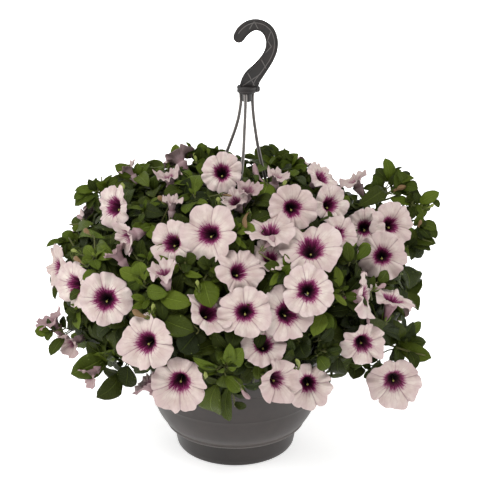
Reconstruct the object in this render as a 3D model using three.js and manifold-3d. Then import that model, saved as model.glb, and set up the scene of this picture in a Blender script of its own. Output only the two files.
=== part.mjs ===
// A petunia in full bloom in its hanging basket: a plastic bowl on a clip-on drip tray, filled with
// soil, a hook with three straps, leafy stems that grow out of the soil, and trumpet blooms on them.
// Millimetres, +Z up. The origin is the centre of the drip tray's underside. The front is -Y.
import * as THREE from 'three';
import { mergeVertices } from 'three/addons/utils/BufferGeometryUtils.js';
import Module from 'manifold-3d';

const wasm = await Module();
wasm.setup();
const { Manifold, Mesh: SolidMesh } = wasm;

// Driving dimensions.
const GAP = 0.35;
const ROUND = 24;
const BOWL_HEIGHT = 152;
const RIM_RADIUS = 121.5;
const TRAY_HEIGHT = 35;
const TRAY_RADIUS = 88.5;
const HOOK_THICKNESS = 9;
const HOOK_RECESS = 2.2;
const HOOK_EDGE = 3.2;
const RIB_WIDTH = 2.2;
const HUB = new THREE.Vector3(16, 0, 500);
const COLLAR_RADIUS = 13;
const COLLAR_HEIGHT = 9;
const STUB_RADIUS = 6.6;
const STUB_HEIGHT = 13;
const STRAP_RADIUS = 2.4;
const STRAP_TOP_RADIUS = 9.6;
// Each strap's azimuth, and how far from the hook's axis it is where it meets the foliage.
const STRAPS = { left: [148, 36.5], right: [40, 24.7], front: [258, 33] };
const CLIP_WIDTH = 11;
const ROOT_RADIUS = 3.4;
const HOLE_RADIUS = 4.4;
const ROOT_DEPTH = 116;
const WEDGES = 9;
const WEDGE_START = 10;
const CALYX_LENGTH = 8;
const BOW_ATTEMPTS = 40;
const BUD_SPACING = 6;
const ARM_RADII = [3, 2.9, 2.7, 2.5];
const LEAF_SHARES = [0.34, 0.55, 0.7, 0.85, 1];
const LEAF_CHEEK = 0.6;
const OUTWARD_LEAN = 0.9;
const LIMB_THICKNESS = 0.9;
const LOBES = 5;
const LOBE_NOTCH = 0.83;
const THROAT_RADIUS = 7.6;
const THROAT_DEPTH = 15;
const NECK_RADIUS = 8.6;
const BASE_RADIUS = 2.6;
const WHORL_THICKNESS = 2.4;
const FACE_VIEW = 60;
const FACE_SHARE = 0.75;

// Profiles are [radius, height] points from the axis out and back to the axis.
const TRAY_PROFILE = [
  [0, 0], [78.5, 0], [83, 4], [TRAY_RADIUS, TRAY_HEIGHT], [86.3, TRAY_HEIGHT], [81, 5.2], [77, 2.2], [0, 2.2],
];
const BOWL_PROFILE = [
  [0, 2.6], [75.5, 2.6], [85, 33], [85.2, 36], [97, 36],
  [98.3, 37.5], [103.8, 47], [110, 58], [115.5, 74], [118, 92], [119.2, 122], [120.6, 124],
  [RIM_RADIUS, 150], [120.5, BOWL_HEIGHT], [118.5, BOWL_HEIGHT], [117.5, 148], [115.6, 92],
  [113.1, 75], [107.8, 60], [101.2, 49], [95, 39.5], [83, 38.5], [74, 5], [0, 5],
];
const SOIL_PROFILE = [
  [0, 5.4], [73.5, 5.4], [82.5, 39], [94.6, 40], [100.6, 49.4], [107.2, 60.4], [112.5, 75.3],
  [115, 92], [116, 134], [0, 141],
];

// The hook's centre line from its tip to its collar: [x, z, half width].
const HOOK_LINE = [
  [5.8, 572, 7.2], [10.3, 578.4, 7.7], [17.5, 584.4, 7.4], [26.3, 587.2, 6.8], [35.8, 585.2, 6.8],
  [43.5, 578.6, 7.4], [47.4, 568.3, 7.8], [47.2, 557.1, 7.8], [43.2, 546.5, 7.9], [37.5, 537.8, 8.5],
  [30, 528.3, 9.7], [23, 519.8, 11.2], [19.2, 511.5, 11.8], [18, 503, 11.8],
];
// Ribs that stand in the hook's recess: [x, z, x, z].
const HOOK_RIBS = [
  [19, 581, 25.7, 593], [25.7, 593, 31.5, 580], [42, 571, 53, 563], [42, 556, 53, 563],
  [34, 548, 43, 534], [16, 528, 27.5, 507], [33, 525, 8, 508],
];

// The plant's outer face, where its blooms look out: half an egg above a flatter half below.
const DOME = { centre: 240, wide: 238, deep: 215, up: 165, down: 150 };

// The front blooms and shoots are set out as they are seen from a point a little above the front.
// Places in this view are [across, down] in a square frame of side 490, on the plant's outer face.
const VIEW_MIDDLE = 245;
const VIEW_FOCAL = 1157;
const VIEW_ELEVATION = THREE.MathUtils.degToRad(19.5);
const VIEW_DISTANCE = 1560;
const VIEW_TARGET = new THREE.Vector3(13.5, 0, 292);
const VIEW_RIGHT = new THREE.Vector3(1, 0, 0);
const VIEW_UP = new THREE.Vector3(0, Math.sin(VIEW_ELEVATION), Math.cos(VIEW_ELEVATION));
const VIEW_FORWARD = new THREE.Vector3(0, Math.cos(VIEW_ELEVATION), -Math.sin(VIEW_ELEVATION));
const VIEW_EYE = VIEW_TARGET.clone().addScaledVector(VIEW_FORWARD, -VIEW_DISTANCE);

// Front blooms: [name, seen across, seen down, width in mm, facing (right, up, to the eye), sink in
// mm behind the outer face, how far open (1 is flat)].
const FRONT_BLOOMS = [
  ['f01', 116, 207, 57, [-0.65, 0.1, 0.75], 0, 1],
  ['f02', 131, 236, 54, [-0.8, -0.3, 0.45], 0, 0.7],
  ['f03', 59, 267, 58, [-0.85, 0.1, 0.5], 0, 1],
  ['f04', 77, 285, 62, [-0.7, -0.1, 0.65], 8, 1],
  ['f05', 106, 299, 66, [-0.05, 0.05, 1], 0, 1],
  ['f06', 147, 342, 70, [-0.3, 0, 0.95], 0, 1],
  ['f07', 180, 381, 70, [-0.1, -0.25, 0.95], 0, 1],
  ['f07b', 150, 387, 46, [-0.6, 0.6, 0.2], 14, 0.7],
  ['f08', 210, 234, 70, [-0.25, 0.05, 0.97], 0, 1],
  ['f09', 222, 173, 53, [0, 0.1, 1], -8, 1],
  ['f10', 173, 243, 56, [-0.3, 0.1, 0.9], 7, 1],
  ['f11', 238, 272, 58, [0.35, 0.25, 0.9], 12, 1],
  ['f12', 245, 312, 64, [0, 0, 1], 10, 1],
  ['f13', 286, 313, 68, [0.1, -0.1, 1], 11, 1],
  ['f14', 308, 291, 63, [0, 0.05, 1], 0, 1],
  ['f15', 311, 250, 76, [0, 0.5, 0.85], 2, 1],
  ['f16', 270, 232, 64, [-0.1, 0.8, 0.55], 8, 1],
  ['f17', 292, 208, 61, [0.15, -0.1, 0.98], 0, 1],
  ['f18', 329, 205, 50, [0.4, 0.1, 0.9], 7, 1],
  ['f19', 320, 179, 48, [0.55, 0.55, 0.6], 0, 0.9],
  ['f20', 356, 183, 46, [-0.45, 0.8, 0.35], 0, 0.8],
  ['f21', 366, 228, 52, [-0.5, -0.1, 0.85], 1, 1],
  ['f22', 390, 224, 60, [0, 0.1, 1], 4, 1],
  ['f23', 382, 256, 63, [-0.1, 0.05, 1], 0, 1],
  ['f24', 361, 296, 66, [0.9, 0.1, 0.3], 4, 0.9],
  ['f26', 392, 301, 57, [0.25, 0.85, 0.4], -2, 1],
  ['f27', 362, 342, 57, [0, -0.2, 0.97], 3, 0.9],
  ['f28', 394, 380, 69, [0, -0.2, 0.98], 0, 1],
  ['f29', 278, 381, 50, [0.5, 0.15, 0.85], -19, 1],
  ['f30', 308, 383, 60, [0.05, -0.1, 1], 4, 1],
  ['f31', 263, 343, 56, [0, -0.3, 0.95], 12, 1],
  ['f32', 207, 313, 62, [0.75, 0.1, 0.65], 3, 0.8],
  ['f33', 179, 160, 46, [-0.3, 0.9, -0.1], 0, 0.8],
  ['f34', 170, 181, 42, [-0.5, 0.2, 0.8], 4, 0.5],
  ['f35', 172, 207, 36, [0, 0.5, 0.8], 4, 0.4],
  ['f36', 165, 277, 46, [-0.2, 0.85, 0.45], 0, 0.6],
  ['f37', 247, 194, 44, [0.2, 0.7, 0.6], 3, 0.6],
  ['f38', 337, 235, 50, [0.3, 0.1, 0.9], 8, 1],
  ['f39', 270, 258, 50, [0, 0.3, 0.9], 16, 1],
  ['f40', 236, 203, 42, [-0.3, 0.5, 0.7], 10, 0.7],
  ['f41', 74, 342, 44, [-0.6, -0.3, 0.6], 4, 0.6],
  ['f42', 54, 324, 42, [-0.5, 0.8, 0.3], 2, 0.7],
  ['f43', 92, 373, 40, [-0.5, -0.4, 0.5], 10, 0.6],
  ['f44', 119, 257, 42, [-0.5, 0.7, 0.2], 8, 0.6],
  ['f45', 276, 180, 42, [0.3, 0.8, 0.4], 4, 0.6],
  ['f46', 130, 172, 38, [-0.5, 0.8, 0.2], 4, 0.6],
];

// Leafy shoots: [seen across, seen down of the root, then of the tip, leaf length in mm, leaves].
const FRONT_SHOOTS = [
  [98, 202, 80, 190, 35, 5], [108, 194, 101, 174, 30, 4], [138, 188, 135, 166, 35, 4],
  [136, 208, 122, 199, 33, 3], [158, 233, 143, 224, 30, 3], [92, 230, 66, 224, 35, 5],
  [84, 240, 52, 243, 33, 5], [104, 264, 95, 256, 33, 4], [180, 166, 175, 147, 28, 4],
  [200, 168, 196, 146, 33, 5], [212, 166, 215, 148, 28, 4], [196, 197, 184, 176, 37, 5],
  [252, 188, 247, 167, 28, 4], [283, 180, 271, 146, 40, 5], [290, 182, 296, 153, 37, 4],
  [300, 184, 312, 168, 30, 4], [272, 204, 256, 190, 40, 4], [388, 194, 389, 160, 37, 5],
  [383, 198, 374, 176, 28, 4], [397, 196, 412, 175, 28, 4], [402, 206, 434, 199, 37, 5],
  [402, 224, 434, 229, 37, 4], [404, 240, 436, 243, 30, 5], [398, 262, 410, 278, 42, 4],
  [352, 260, 348, 238, 33, 4], [346, 306, 337, 276, 37, 4], [350, 314, 372, 300, 40, 4],
  [328, 338, 319, 316, 40, 4], [286, 284, 277, 264, 37, 4], [188, 272, 172, 256, 35, 4],
  [204, 282, 212, 258, 35, 5], [238, 240, 250, 225, 28, 4], [149, 286, 138, 267, 33, 5],
  [158, 304, 176, 297, 42, 3], [204, 296, 214, 286, 44, 3], [172, 334, 184, 320, 47, 4],
  [226, 374, 224, 350, 37, 6], [222, 380, 213, 412, 44, 4], [228, 380, 236, 410, 44, 4],
  [214, 372, 194, 360, 35, 4], [252, 384, 257, 362, 33, 4], [284, 364, 296, 374, 33, 3],
  [322, 372, 326, 352, 33, 4], [336, 362, 354, 370, 40, 4], [398, 338, 420, 326, 35, 5],
  [404, 350, 428, 356, 44, 4], [66, 330, 38, 330, 33, 5], [68, 346, 50, 354, 28, 4],
  [84, 330, 79, 308, 33, 4], [94, 352, 80, 340, 33, 3], [108, 356, 78, 370, 47, 3],
  [116, 376, 106, 398, 44, 3], [126, 368, 133, 384, 40, 3], [130, 358, 120, 346, 35, 4],
  [148, 262, 130, 250, 33, 4], [340, 214, 334, 196, 30, 4], [232, 262, 226, 252, 30, 3],
  [160, 196, 152, 186, 30, 4], [372, 286, 376, 272, 33, 4], [64, 300, 48, 306, 30, 4],
];

// The rest of the plant, out of that view, follows an even spiral over the outer face.
const SPIRAL_TURN = Math.PI * (3 - Math.sqrt(5));
const SPIRAL_TOP = 0.97;
const SPIRAL_FALL = 1.62;
const HIDDEN_FROM = 0.12;
const HIDDEN_CLUSTERS = 26;
const HIDDEN_CLUSTER_SPACING = 50;
const HIDDEN_PAIR_OFFSET = 23;
const HIDDEN_SHOOTS = 78;
const HIDDEN_SHOOT_SPACING = 36;

// Seeded draws: the same small integer rule gives the same plant each time.
let drawState = 20417;
function draw(low, high) {
  drawState = (Math.imul(drawState, 1103515245) + 12345) & 0x7fffffff;
  return low + (high - low) * (drawState >>> 8) / 0x7fffff;
}

const polar = (radius, degrees, z) => new THREE.Vector3(
  radius * Math.cos(THREE.MathUtils.degToRad(degrees)),
  radius * Math.sin(THREE.MathUtils.degToRad(degrees)),
  z,
);

// ---- Solids ----

function solidOf(positions, triangles) {
  return new Manifold(new SolidMesh({
    numProp: 3,
    vertProperties: Float32Array.from(positions),
    triVerts: Uint32Array.from(triangles),
  }));
}

function solidFrom(geometry) {
  const bare = geometry.clone();
  bare.deleteAttribute('normal');
  bare.deleteAttribute('uv');
  const merged = mergeVertices(bare, 1e-3);
  const index = merged.index.array;
  const triangles = [];
  for (let i = 0; i < index.length; i += 3) {
    const [a, b, c] = [index[i], index[i + 1], index[i + 2]];
    if (a !== b && b !== c && c !== a) triangles.push(a, b, c);
  }
  return solidOf(merged.attributes.position.array, triangles);
}

function geometryFrom(solid) {
  const mesh = solid.getMesh();
  const geometry = new THREE.BufferGeometry();
  geometry.setAttribute('position', new THREE.BufferAttribute(mesh.vertProperties, 3));
  geometry.setIndex(new THREE.BufferAttribute(mesh.triVerts, 1));
  geometry.computeVertexNormals();
  return geometry;
}

// The largest closed body of a join: loose scraps and sealed hollows are left out.
function mainBody(solid) {
  const bodies = solid.decompose();
  return bodies.reduce((best, body) => (body.volume() > best.volume() ? body : best));
}

function lathe(profile) {
  const points = profile.map(([radius, height]) => new THREE.Vector2(radius, height));
  const geometry = new THREE.LatheGeometry(points, ROUND);
  geometry.rotateX(Math.PI / 2);
  return solidFrom(geometry);
}

// Rings of corners along the points, with a radius at each, that turn as little as they can.
function ringsAlong(points, radii, sides) {
  const rings = [];
  const tangent = points[1].clone().sub(points[0]).normalize();
  const side = new THREE.Vector3(1, 0, 0).cross(tangent);
  if (side.length() < 0.3) side.set(0, 1, 0).cross(tangent);
  points.forEach((point, i) => {
    const before = points[Math.max(i - 1, 0)];
    const after = points[Math.min(i + 1, points.length - 1)];
    tangent.copy(after).sub(before).normalize();
    side.addScaledVector(tangent, -side.dot(tangent)).normalize();
    const other = tangent.clone().cross(side);
    rings.push(Array.from({ length: sides }, (_, k) => {
      const angle = 2 * Math.PI * k / sides;
      return point.clone()
        .addScaledVector(side, radii[i] * Math.cos(angle))
        .addScaledVector(other, radii[i] * Math.sin(angle));
    }));
  });
  return { rings, side };
}

// The faces of a tube's wall and of its first end.
function wallFaces(ringCount, sides) {
  const triangles = [];
  for (let i = 0; i + 1 < ringCount; i += 1) {
    for (let k = 0; k < sides; k += 1) {
      const a = i * sides + k;
      const b = i * sides + (k + 1) % sides;
      triangles.push(a, b, b + sides, a, b + sides, a + sides);
    }
  }
  for (let k = 1; k + 1 < sides; k += 1) triangles.push(0, k + 1, k);
  return triangles;
}

// A closed tube through the points, with a radius at each.
function tube(points, radii, sides) {
  const { rings } = ringsAlong(points, radii, sides);
  const triangles = wallFaces(points.length, sides);
  const last = (points.length - 1) * sides;
  for (let k = 1; k + 1 < sides; k += 1) triangles.push(last, last + k, last + k + 1);
  return solidOf(rings.flat().flatMap((corner) => corner.toArray()), triangles);
}

function bent(start, middle, end, steps) {
  return new THREE.QuadraticBezierCurve3(start, middle, end).getPoints(steps);
}

// An outline in the upright x-z plane, given depth along y about the middle.
function extrude(shape, depth, middle = 0) {
  const geometry = new THREE.ExtrudeGeometry(shape, { depth, bevelEnabled: false, curveSegments: 6 });
  geometry.translate(0, 0, -depth / 2);
  geometry.rotateX(Math.PI / 2);
  geometry.translate(0, middle, 0);
  return solidFrom(geometry);
}

// ---- Basket ----

// The band round the hook's centre line, narrowed by an inset.
function hookOutline(inset) {
  const line = new THREE.SplineCurve(HOOK_LINE.map(([x, z]) => new THREE.Vector2(x, z)));
  const left = [];
  const right = [];
  HOOK_LINE.forEach(([x, z, halfWidth], i) => {
    const tangent = line.getTangent(i / (HOOK_LINE.length - 1));
    const reach = halfWidth - inset;
    left.push(new THREE.Vector2(x - tangent.y * reach, z + tangent.x * reach));
    right.push(new THREE.Vector2(x + tangent.y * reach, z - tangent.x * reach));
  });
  const [tipX, tipZ, tipHalf] = HOOK_LINE[0];
  const back = line.getTangent(0).negate();
  const start = Math.atan2(back.y, back.x);
  const tip = [-60, -20, 20, 60].map((degrees) => {
    const angle = start + THREE.MathUtils.degToRad(degrees);
    return new THREE.Vector2(
      tipX + (tipHalf - inset) * Math.cos(angle),
      tipZ + (tipHalf - inset) * Math.sin(angle),
    );
  });
  return new THREE.Shape([...left.reverse(), ...tip, ...right]);
}

function rib([x0, z0, x1, z1]) {
  const along = new THREE.Vector2(x1 - x0, z1 - z0);
  const across = new THREE.Vector2(-along.y, along.x).setLength(RIB_WIDTH / 2);
  const corners = [
    new THREE.Vector2(x0 + across.x, z0 + across.y),
    new THREE.Vector2(x0 - across.x, z0 - across.y),
    new THREE.Vector2(x1 - across.x, z1 - across.y),
    new THREE.Vector2(x1 + across.x, z1 + across.y),
  ];
  return extrude(new THREE.Shape(corners), HOOK_THICKNESS - 1);
}

function disc(radius, height, x, y, z, sides = 20) {
  const geometry = new THREE.CylinderGeometry(radius, radius, height, sides);
  geometry.rotateX(Math.PI / 2);
  geometry.translate(x, y, z);
  return solidFrom(geometry);
}

function hook() {
  const band = extrude(hookOutline(0), HOOK_THICKNESS);
  const recess = extrude(hookOutline(HOOK_EDGE), HOOK_RECESS * 2, HOOK_THICKNESS / 2)
    .add(extrude(hookOutline(HOOK_EDGE), HOOK_RECESS * 2, -HOOK_THICKNESS / 2));
  const ribs = Manifold.union(HOOK_RIBS.map(rib)).intersect(band);
  const collarMiddle = HUB.z + COLLAR_HEIGHT / 2 + 0.6;
  const collar = disc(COLLAR_RADIUS, COLLAR_HEIGHT, HUB.x, HUB.y, collarMiddle);
  const knob = disc(3.2, COLLAR_HEIGHT - 1, HUB.x + COLLAR_RADIUS + 1.5, HUB.y, collarMiddle, 8);
  const stub = disc(STUB_RADIUS, STUB_HEIGHT, HUB.x, HUB.y, HUB.z - STUB_HEIGHT / 2 + 2, 16);
  return band.subtract(recess).add(ribs).add(collar).add(knob).add(stub);
}

// A clip over the rim: an outer leg, a bridge and an inner leg, all clear of the bowl's lip.
function clip(azimuth) {
  const boxes = [
    [122.3, 125, 140, 155.4],
    [113.2, 125, 152.6, 155.4],
    [113.2, 115.8, 143, 155.4],
  ];
  const solids = boxes.map(([near, far, low, high]) => {
    const geometry = new THREE.BoxGeometry(far - near, CLIP_WIDTH, high - low);
    geometry.translate((near + far) / 2, 0, (low + high) / 2);
    geometry.rotateZ(THREE.MathUtils.degToRad(azimuth));
    return solidFrom(geometry);
  });
  return Manifold.union(solids);
}

// A strap hangs from under the collar, beside the stub, and spreads out to its clip.
function strap([azimuth, spread]) {
  const route = new THREE.CatmullRomCurve3([
    polar(STRAP_TOP_RADIUS, azimuth, 0.6 - GAP * 1.5).add(HUB),
    polar(STRAP_TOP_RADIUS, azimuth, -16).add(HUB),
    polar(spread, azimuth, -95).add(HUB),
    polar(74, azimuth, 285).add(new THREE.Vector3(HUB.x * 0.4, 0, 0)),
    polar(117, azimuth, 172),
    polar(119, azimuth, 154),
  ]);
  const points = route.getPoints(14);
  return tube(points, points.map(() => STRAP_RADIUS), 4).add(clip(azimuth));
}

// ---- Placing on the plant ----

// How far out a point lies: 1 is on the outer face, drawn in by the sink.
function reach(point, sink) {
  const tall = point.z > DOME.centre ? DOME.up : DOME.down;
  return (point.x / (DOME.wide - sink)) ** 2
    + (point.y / (DOME.deep - sink)) ** 2
    + ((point.z - DOME.centre) / (tall - sink)) ** 2;
}

// The point of the outer face seen at a place of the view, or the nearest to it on that sight line.
function seenAt(across, down, sink = 0) {
  const ray = VIEW_FORWARD.clone()
    .addScaledVector(VIEW_RIGHT, (across - VIEW_MIDDLE) / VIEW_FOCAL)
    .addScaledVector(VIEW_UP, (VIEW_MIDDLE - down) / VIEW_FOCAL);
  let best = null;
  let least = Infinity;
  for (let far = 1200; far < 1760; far += 1) {
    const point = VIEW_EYE.clone().addScaledVector(ray, far);
    const out = reach(point, sink);
    if (out <= 1) return point;
    if (out < least) {
      least = out;
      best = point;
    }
  }
  return best;
}

function facing([right, up, toEye]) {
  return new THREE.Vector3()
    .addScaledVector(VIEW_RIGHT, right)
    .addScaledVector(VIEW_UP, up)
    .addScaledVector(VIEW_FORWARD, -toEye)
    .normalize();
}

// The outward direction of the outer face at a point.
function outward(point) {
  const tall = point.z > DOME.centre ? DOME.up : DOME.down;
  return new THREE.Vector3(
    point.x / DOME.wide ** 2,
    point.y / DOME.deep ** 2,
    (point.z - DOME.centre) / tall ** 2,
  ).normalize();
}

// An even spiral of points over the outer face, from its top down to below the rim.
function spiralPoint(i, count) {
  const height = SPIRAL_TOP - SPIRAL_FALL * (i + 0.5) / count;
  const ring = Math.sqrt(1 - height * height);
  const turn = i * SPIRAL_TURN;
  return new THREE.Vector3(
    DOME.wide * ring * Math.cos(turn),
    DOME.deep * ring * Math.sin(turn),
    DOME.centre + (height > 0 ? DOME.up : DOME.down) * height,
  );
}

const isHidden = (point) => outward(point).dot(VIEW_FORWARD) > HIDDEN_FROM;

function spaced(point, placed, spacing) {
  return placed.every((other) => other.distanceTo(point) > spacing);
}

function hiddenPoints(count, placed, spacing) {
  const found = [];
  for (let i = 0; i < count; i += 1) {
    const point = spiralPoint(i, count);
    if (isHidden(point) && spaced(point, placed, spacing)) found.push(point);
  }
  return found;
}

// ---- Blooms ----

function bloomSpots() {
  const spots = FRONT_BLOOMS.map(([name, across, down, width, look, sink, open]) => ({
    name,
    throat: seenAt(across, down, sink),
    axis: facing(look),
    width,
    open,
  }));
  const placed = spots.map((spot) => spot.throat);
  hiddenPoints(HIDDEN_CLUSTERS, placed, HIDDEN_CLUSTER_SPACING).forEach((centre, i) => {
    const out = outward(centre);
    const [first, second] = crossAxes(out);
    const turn = draw(0, 2 * Math.PI);
    for (let k = 0; k < 2; k += 1) {
      const angle = turn + Math.PI * k;
      const aside = first.clone().multiplyScalar(Math.cos(angle)).addScaledVector(second, Math.sin(angle));
      spots.push({
        name: `b${String(i + 1).padStart(2, '0')}${'ab'[k]}`,
        throat: centre.clone().addScaledVector(aside, HIDDEN_PAIR_OFFSET),
        axis: out.clone().addScaledVector(aside, 0.25).normalize(),
        width: draw(56, 68),
        open: 1,
      });
    }
  });
  return spots.map((spot) => ({ ...spot, spin: draw(0, 2 * Math.PI) }));
}

// Any two directions square to the axis.
function crossAxes(axis) {
  const first = new THREE.Vector3(0, 0, 1).cross(axis);
  if (first.length() < 0.2) first.set(1, 0, 0);
  first.normalize();
  return [first, axis.clone().cross(first)];
}

const corollaTube = (width) => 10 + width * 0.32;

// A trumpet as one closed skin: rings from deep in its throat over the limb's edge to its base.
function corolla({ throat, axis, width, open, spin }) {
  const [first, second] = crossAxes(axis);
  const radius = (width / 2) * (0.45 + 0.55 * open);
  const rise = (width / 2) * (0.95 - 0.8 * open);
  const positions = [];
  const triangles = [];
  const put = (out, along, angle) => {
    const point = throat.clone()
      .addScaledVector(first, out * Math.cos(angle + spin))
      .addScaledVector(second, out * Math.sin(angle + spin))
      .addScaledVector(axis, along);
    positions.push(...point.toArray());
    return positions.length / 3 - 1;
  };
  const ring = (steps, out, along) => Array.from(
    { length: steps },
    (_, k) => put(out, along, 2 * Math.PI * k / steps + Math.PI / LOBES),
  );
  const edgePoint = (_, k) => {
    const notch = k % 3 === 0;
    return put(radius * (notch ? LOBE_NOTCH : 1), rise + (notch ? 3 : 1.5), 2 * Math.PI * k / (3 * LOBES));
  };
  const middleRise = rise * 0.45 + 3;
  const deep = put(0, -THROAT_DEPTH, 0);
  const mouth = ring(LOBES, THROAT_RADIUS, 0);
  const middle = ring(LOBES, radius * 0.58, middleRise);
  const edge = Array.from({ length: 3 * LOBES }, edgePoint);
  const under = ring(LOBES, radius * 0.56, middleRise - LIMB_THICKNESS * 1.7);
  const neck = ring(LOBES, NECK_RADIUS, -LIMB_THICKNESS - 2.6);
  const base = ring(LOBES, BASE_RADIUS, -corollaTube(width));
  mouth.forEach((corner, k) => triangles.push(deep, corner, mouth[(k + 1) % LOBES]));
  band(triangles, mouth, middle, true);
  limb(triangles, middle, edge, true);
  limb(triangles, under, edge, false);
  band(triangles, neck, under, false);
  band(triangles, base, neck, false);
  triangles.push(base[0], base[2], base[1], base[0], base[3], base[2], base[0], base[4], base[3]);
  return solidOf(positions, triangles);
}

// Whether a point stands close before the face of a bloom.
function isBefore({ throat, axis, width }, point) {
  const apart = point.clone().sub(throat);
  const along = apart.dot(axis);
  apart.addScaledVector(axis, -along);
  return along > 2 && along < FACE_VIEW && apart.length() < (width / 2) * FACE_SHARE;
}

// Whether any corner of a solid stands before the face of a bloom and so hides it.
function hidesBloom(solid, blooms) {
  const places = solid.getMesh().vertProperties;
  for (let i = 0; i < places.length; i += 3) {
    const corner = new THREE.Vector3(places[i], places[i + 1], places[i + 2]);
    if (blooms.some((bloom) => isBefore(bloom, corner))) return true;
  }
  return false;
}

// Faces that look along the trumpet's axis, or back down it.
function pushFaces(triangles, faces, ahead) {
  faces.forEach(([a, b, c]) => triangles.push(...(ahead ? [a, b, c] : [a, c, b])));
}

// Between two rings of one corner a lobe.
function band(triangles, inner, outer, ahead) {
  inner.forEach((corner, k) => {
    const next = (k + 1) % LOBES;
    pushFaces(triangles, [[corner, outer[k], outer[next]], [corner, outer[next], inner[next]]], ahead);
  });
}

// From a ring of one corner a lobe out to the limb's edge, which has three.
function limb(triangles, ring, edge, ahead) {
  ring.forEach((corner, k) => {
    const rim = [0, 1, 2, 3].map((step) => edge[(3 * k + step) % edge.length]);
    const faces = [0, 1, 2].map((step) => [corner, rim[step], rim[step + 1]]);
    pushFaces(triangles, [...faces, [corner, rim[3], ring[(k + 1) % LOBES]]], ahead);
  });
}

// ---- Leafy stems ----

// A three-sided stem that ends in a whorl: one thin star of pointed oval leaves, each folded up from
// its midrib and arched. Each leaf has its own length.
function leafyStem(points, radii, axis, lengths, spin, rise) {
  const { rings, side } = ringsAlong(points, radii, 3);
  const corners = rings.flat();
  const triangles = wallFaces(points.length, 3);
  const first = side.addScaledVector(axis, -side.dot(axis)).normalize();
  const second = axis.clone().cross(first);
  const tip = points[points.length - 1];
  const count = lengths.length;
  const cheek = Math.min(LEAF_CHEEK, Math.PI / count - 0.06);
  const put = (out, along, angle) => corners.push(tip.clone()
    .addScaledVector(first, out * Math.cos(angle))
    .addScaledVector(second, out * Math.sin(angle))
    .addScaledVector(axis, along));
  const outlineStart = corners.length;
  lengths.forEach((length, k) => {
    const angle = spin + 2 * Math.PI * k / count;
    const cheekOut = length * 0.54;
    put(3, 0.8, angle - Math.PI / count);
    put(cheekOut, cheekOut * rise + length * 0.09, angle - cheek);
    put(length, length * (rise - 0.12), angle);
    put(cheekOut, cheekOut * rise + length * 0.09, angle + cheek);
  });
  const top = corners.length;
  put(0, WHORL_THICKNESS, 0);
  const around = 4 * count;
  const ringStart = (points.length - 1) * 3;
  const ringCorner = (k) => {
    const turns = spin / (2 * Math.PI) + (k - 1) / around;
    return ringStart + Math.round(3 * turns) % 3;
  };
  for (let k = 0; k < around; k += 1) {
    const here = outlineStart + k;
    const next = outlineStart + (k + 1) % around;
    triangles.push(top, here, next, ringCorner(k), next, here);
    const nextCorner = ringCorner((k + 1) % around);
    if (nextCorner !== ringCorner(k)) triangles.push(ringCorner(k), nextCorner, next);
  }
  return solidOf(corners.flatMap((corner) => corner.toArray()), triangles);
}

class Node {
  constructor() {
    this.parts = [];
  }

  add(solid) {
    this.parts.push({ solid, box: solid.boundingBox() });
  }

  clears(solid, box = solid.boundingBox()) {
    const clearOfPart = (part) => boxesApart(part.box, box) || solid.minGap(part.solid, GAP) >= GAP * 0.9;
    return this.parts.every(clearOfPart);
  }
}

function boxesApart(one, two) {
  return [0, 1, 2].some((i) => one.min[i] - GAP > two.max[i] || two.min[i] - GAP > one.max[i]);
}

const clearOf = (solid, nodes) => nodes.every((node) => node.clears(solid));

const wedgeTurn = (wedge) => WEDGE_START + wedge * 360 / WEDGES;

function wedgeOf(point) {
  const degrees = THREE.MathUtils.radToDeg(Math.atan2(point.y, point.x)) - WEDGE_START + 720;
  return Math.round(degrees * WEDGES / 360) % WEDGES;
}

// Three plants stand in the soil, each with three main stems in holes of their own.
function rootPlace(wedge) {
  return polar(34, wedgeTurn(Math.floor(wedge / 3) * 3 + 1), 0).add(polar(13, wedgeTurn(wedge), 0));
}

// Each main stem rises from its hole and forks into a low arm over the rim and a high arm.
function mainStems(wedge) {
  const turn = wedgeTurn(wedge);
  const root = rootPlace(wedge);
  const foot = root.clone().setZ(ROOT_DEPTH);
  const fork = root.clone().setZ(166);
  const low = bent(fork, polar(92, turn, 214), polar(150, turn, 208), 3);
  const high = bent(fork, polar(64, turn, 250), polar(78, turn, 318), 3);
  return [
    { points: [foot, fork], radii: [ROOT_RADIUS, 3.3], sides: 6 },
    { points: low, radii: ARM_RADII, sides: 4 },
    { points: high, radii: ARM_RADII, sides: 4 },
  ];
}

// Buds along the arms: each branch leaves from one of its own.
function budsOf(wedge) {
  return mainStems(wedge).slice(1).flatMap(({ points }) => {
    const arm = new THREE.CatmullRomCurve3(points);
    return arm.getSpacedPoints(Math.round(arm.getLength() / BUD_SPACING)).slice(2, -1);
  });
}

function takeNearestBud(buds, target) {
  const cost = (point) => point.distanceTo(target) + Math.max(0, point.z - target.z) * 0.4;
  const best = buds.reduce((least, point) => (cost(point) < cost(least) ? point : least));
  buds.splice(buds.indexOf(best), 1);
  return best;
}

// A bloom's stalk: from its bud, bowed if it must be, to the calyx under the trumpet.
function addStalk(node, buds, { throat, axis, width }, others) {
  const end = throat.clone().addScaledVector(axis, -corollaTube(width) - GAP);
  const calyx = end.clone().addScaledVector(axis, -CALYX_LENGTH);
  const start = takeNearestBud(buds, calyx);
  for (let attempt = 0; attempt < BOW_ATTEMPTS; attempt += 1) {
    const middle = start.clone().lerp(calyx, 0.5).add(sway(attempt * 1.5));
    const points = attempt ? [start, middle, calyx, end] : [start, calyx, end];
    const radii = attempt ? [1.1, 1.3, 1.2, 3.1] : [1.1, 1.2, 3.1];
    const solid = tube(points, radii, 3);
    if (clearOf(solid, others)) {
      node.add(solid);
      return;
    }
  }
}

const sway = (most) => new THREE.Vector3(draw(-most, most), draw(-most, most), draw(-most, most));

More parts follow.
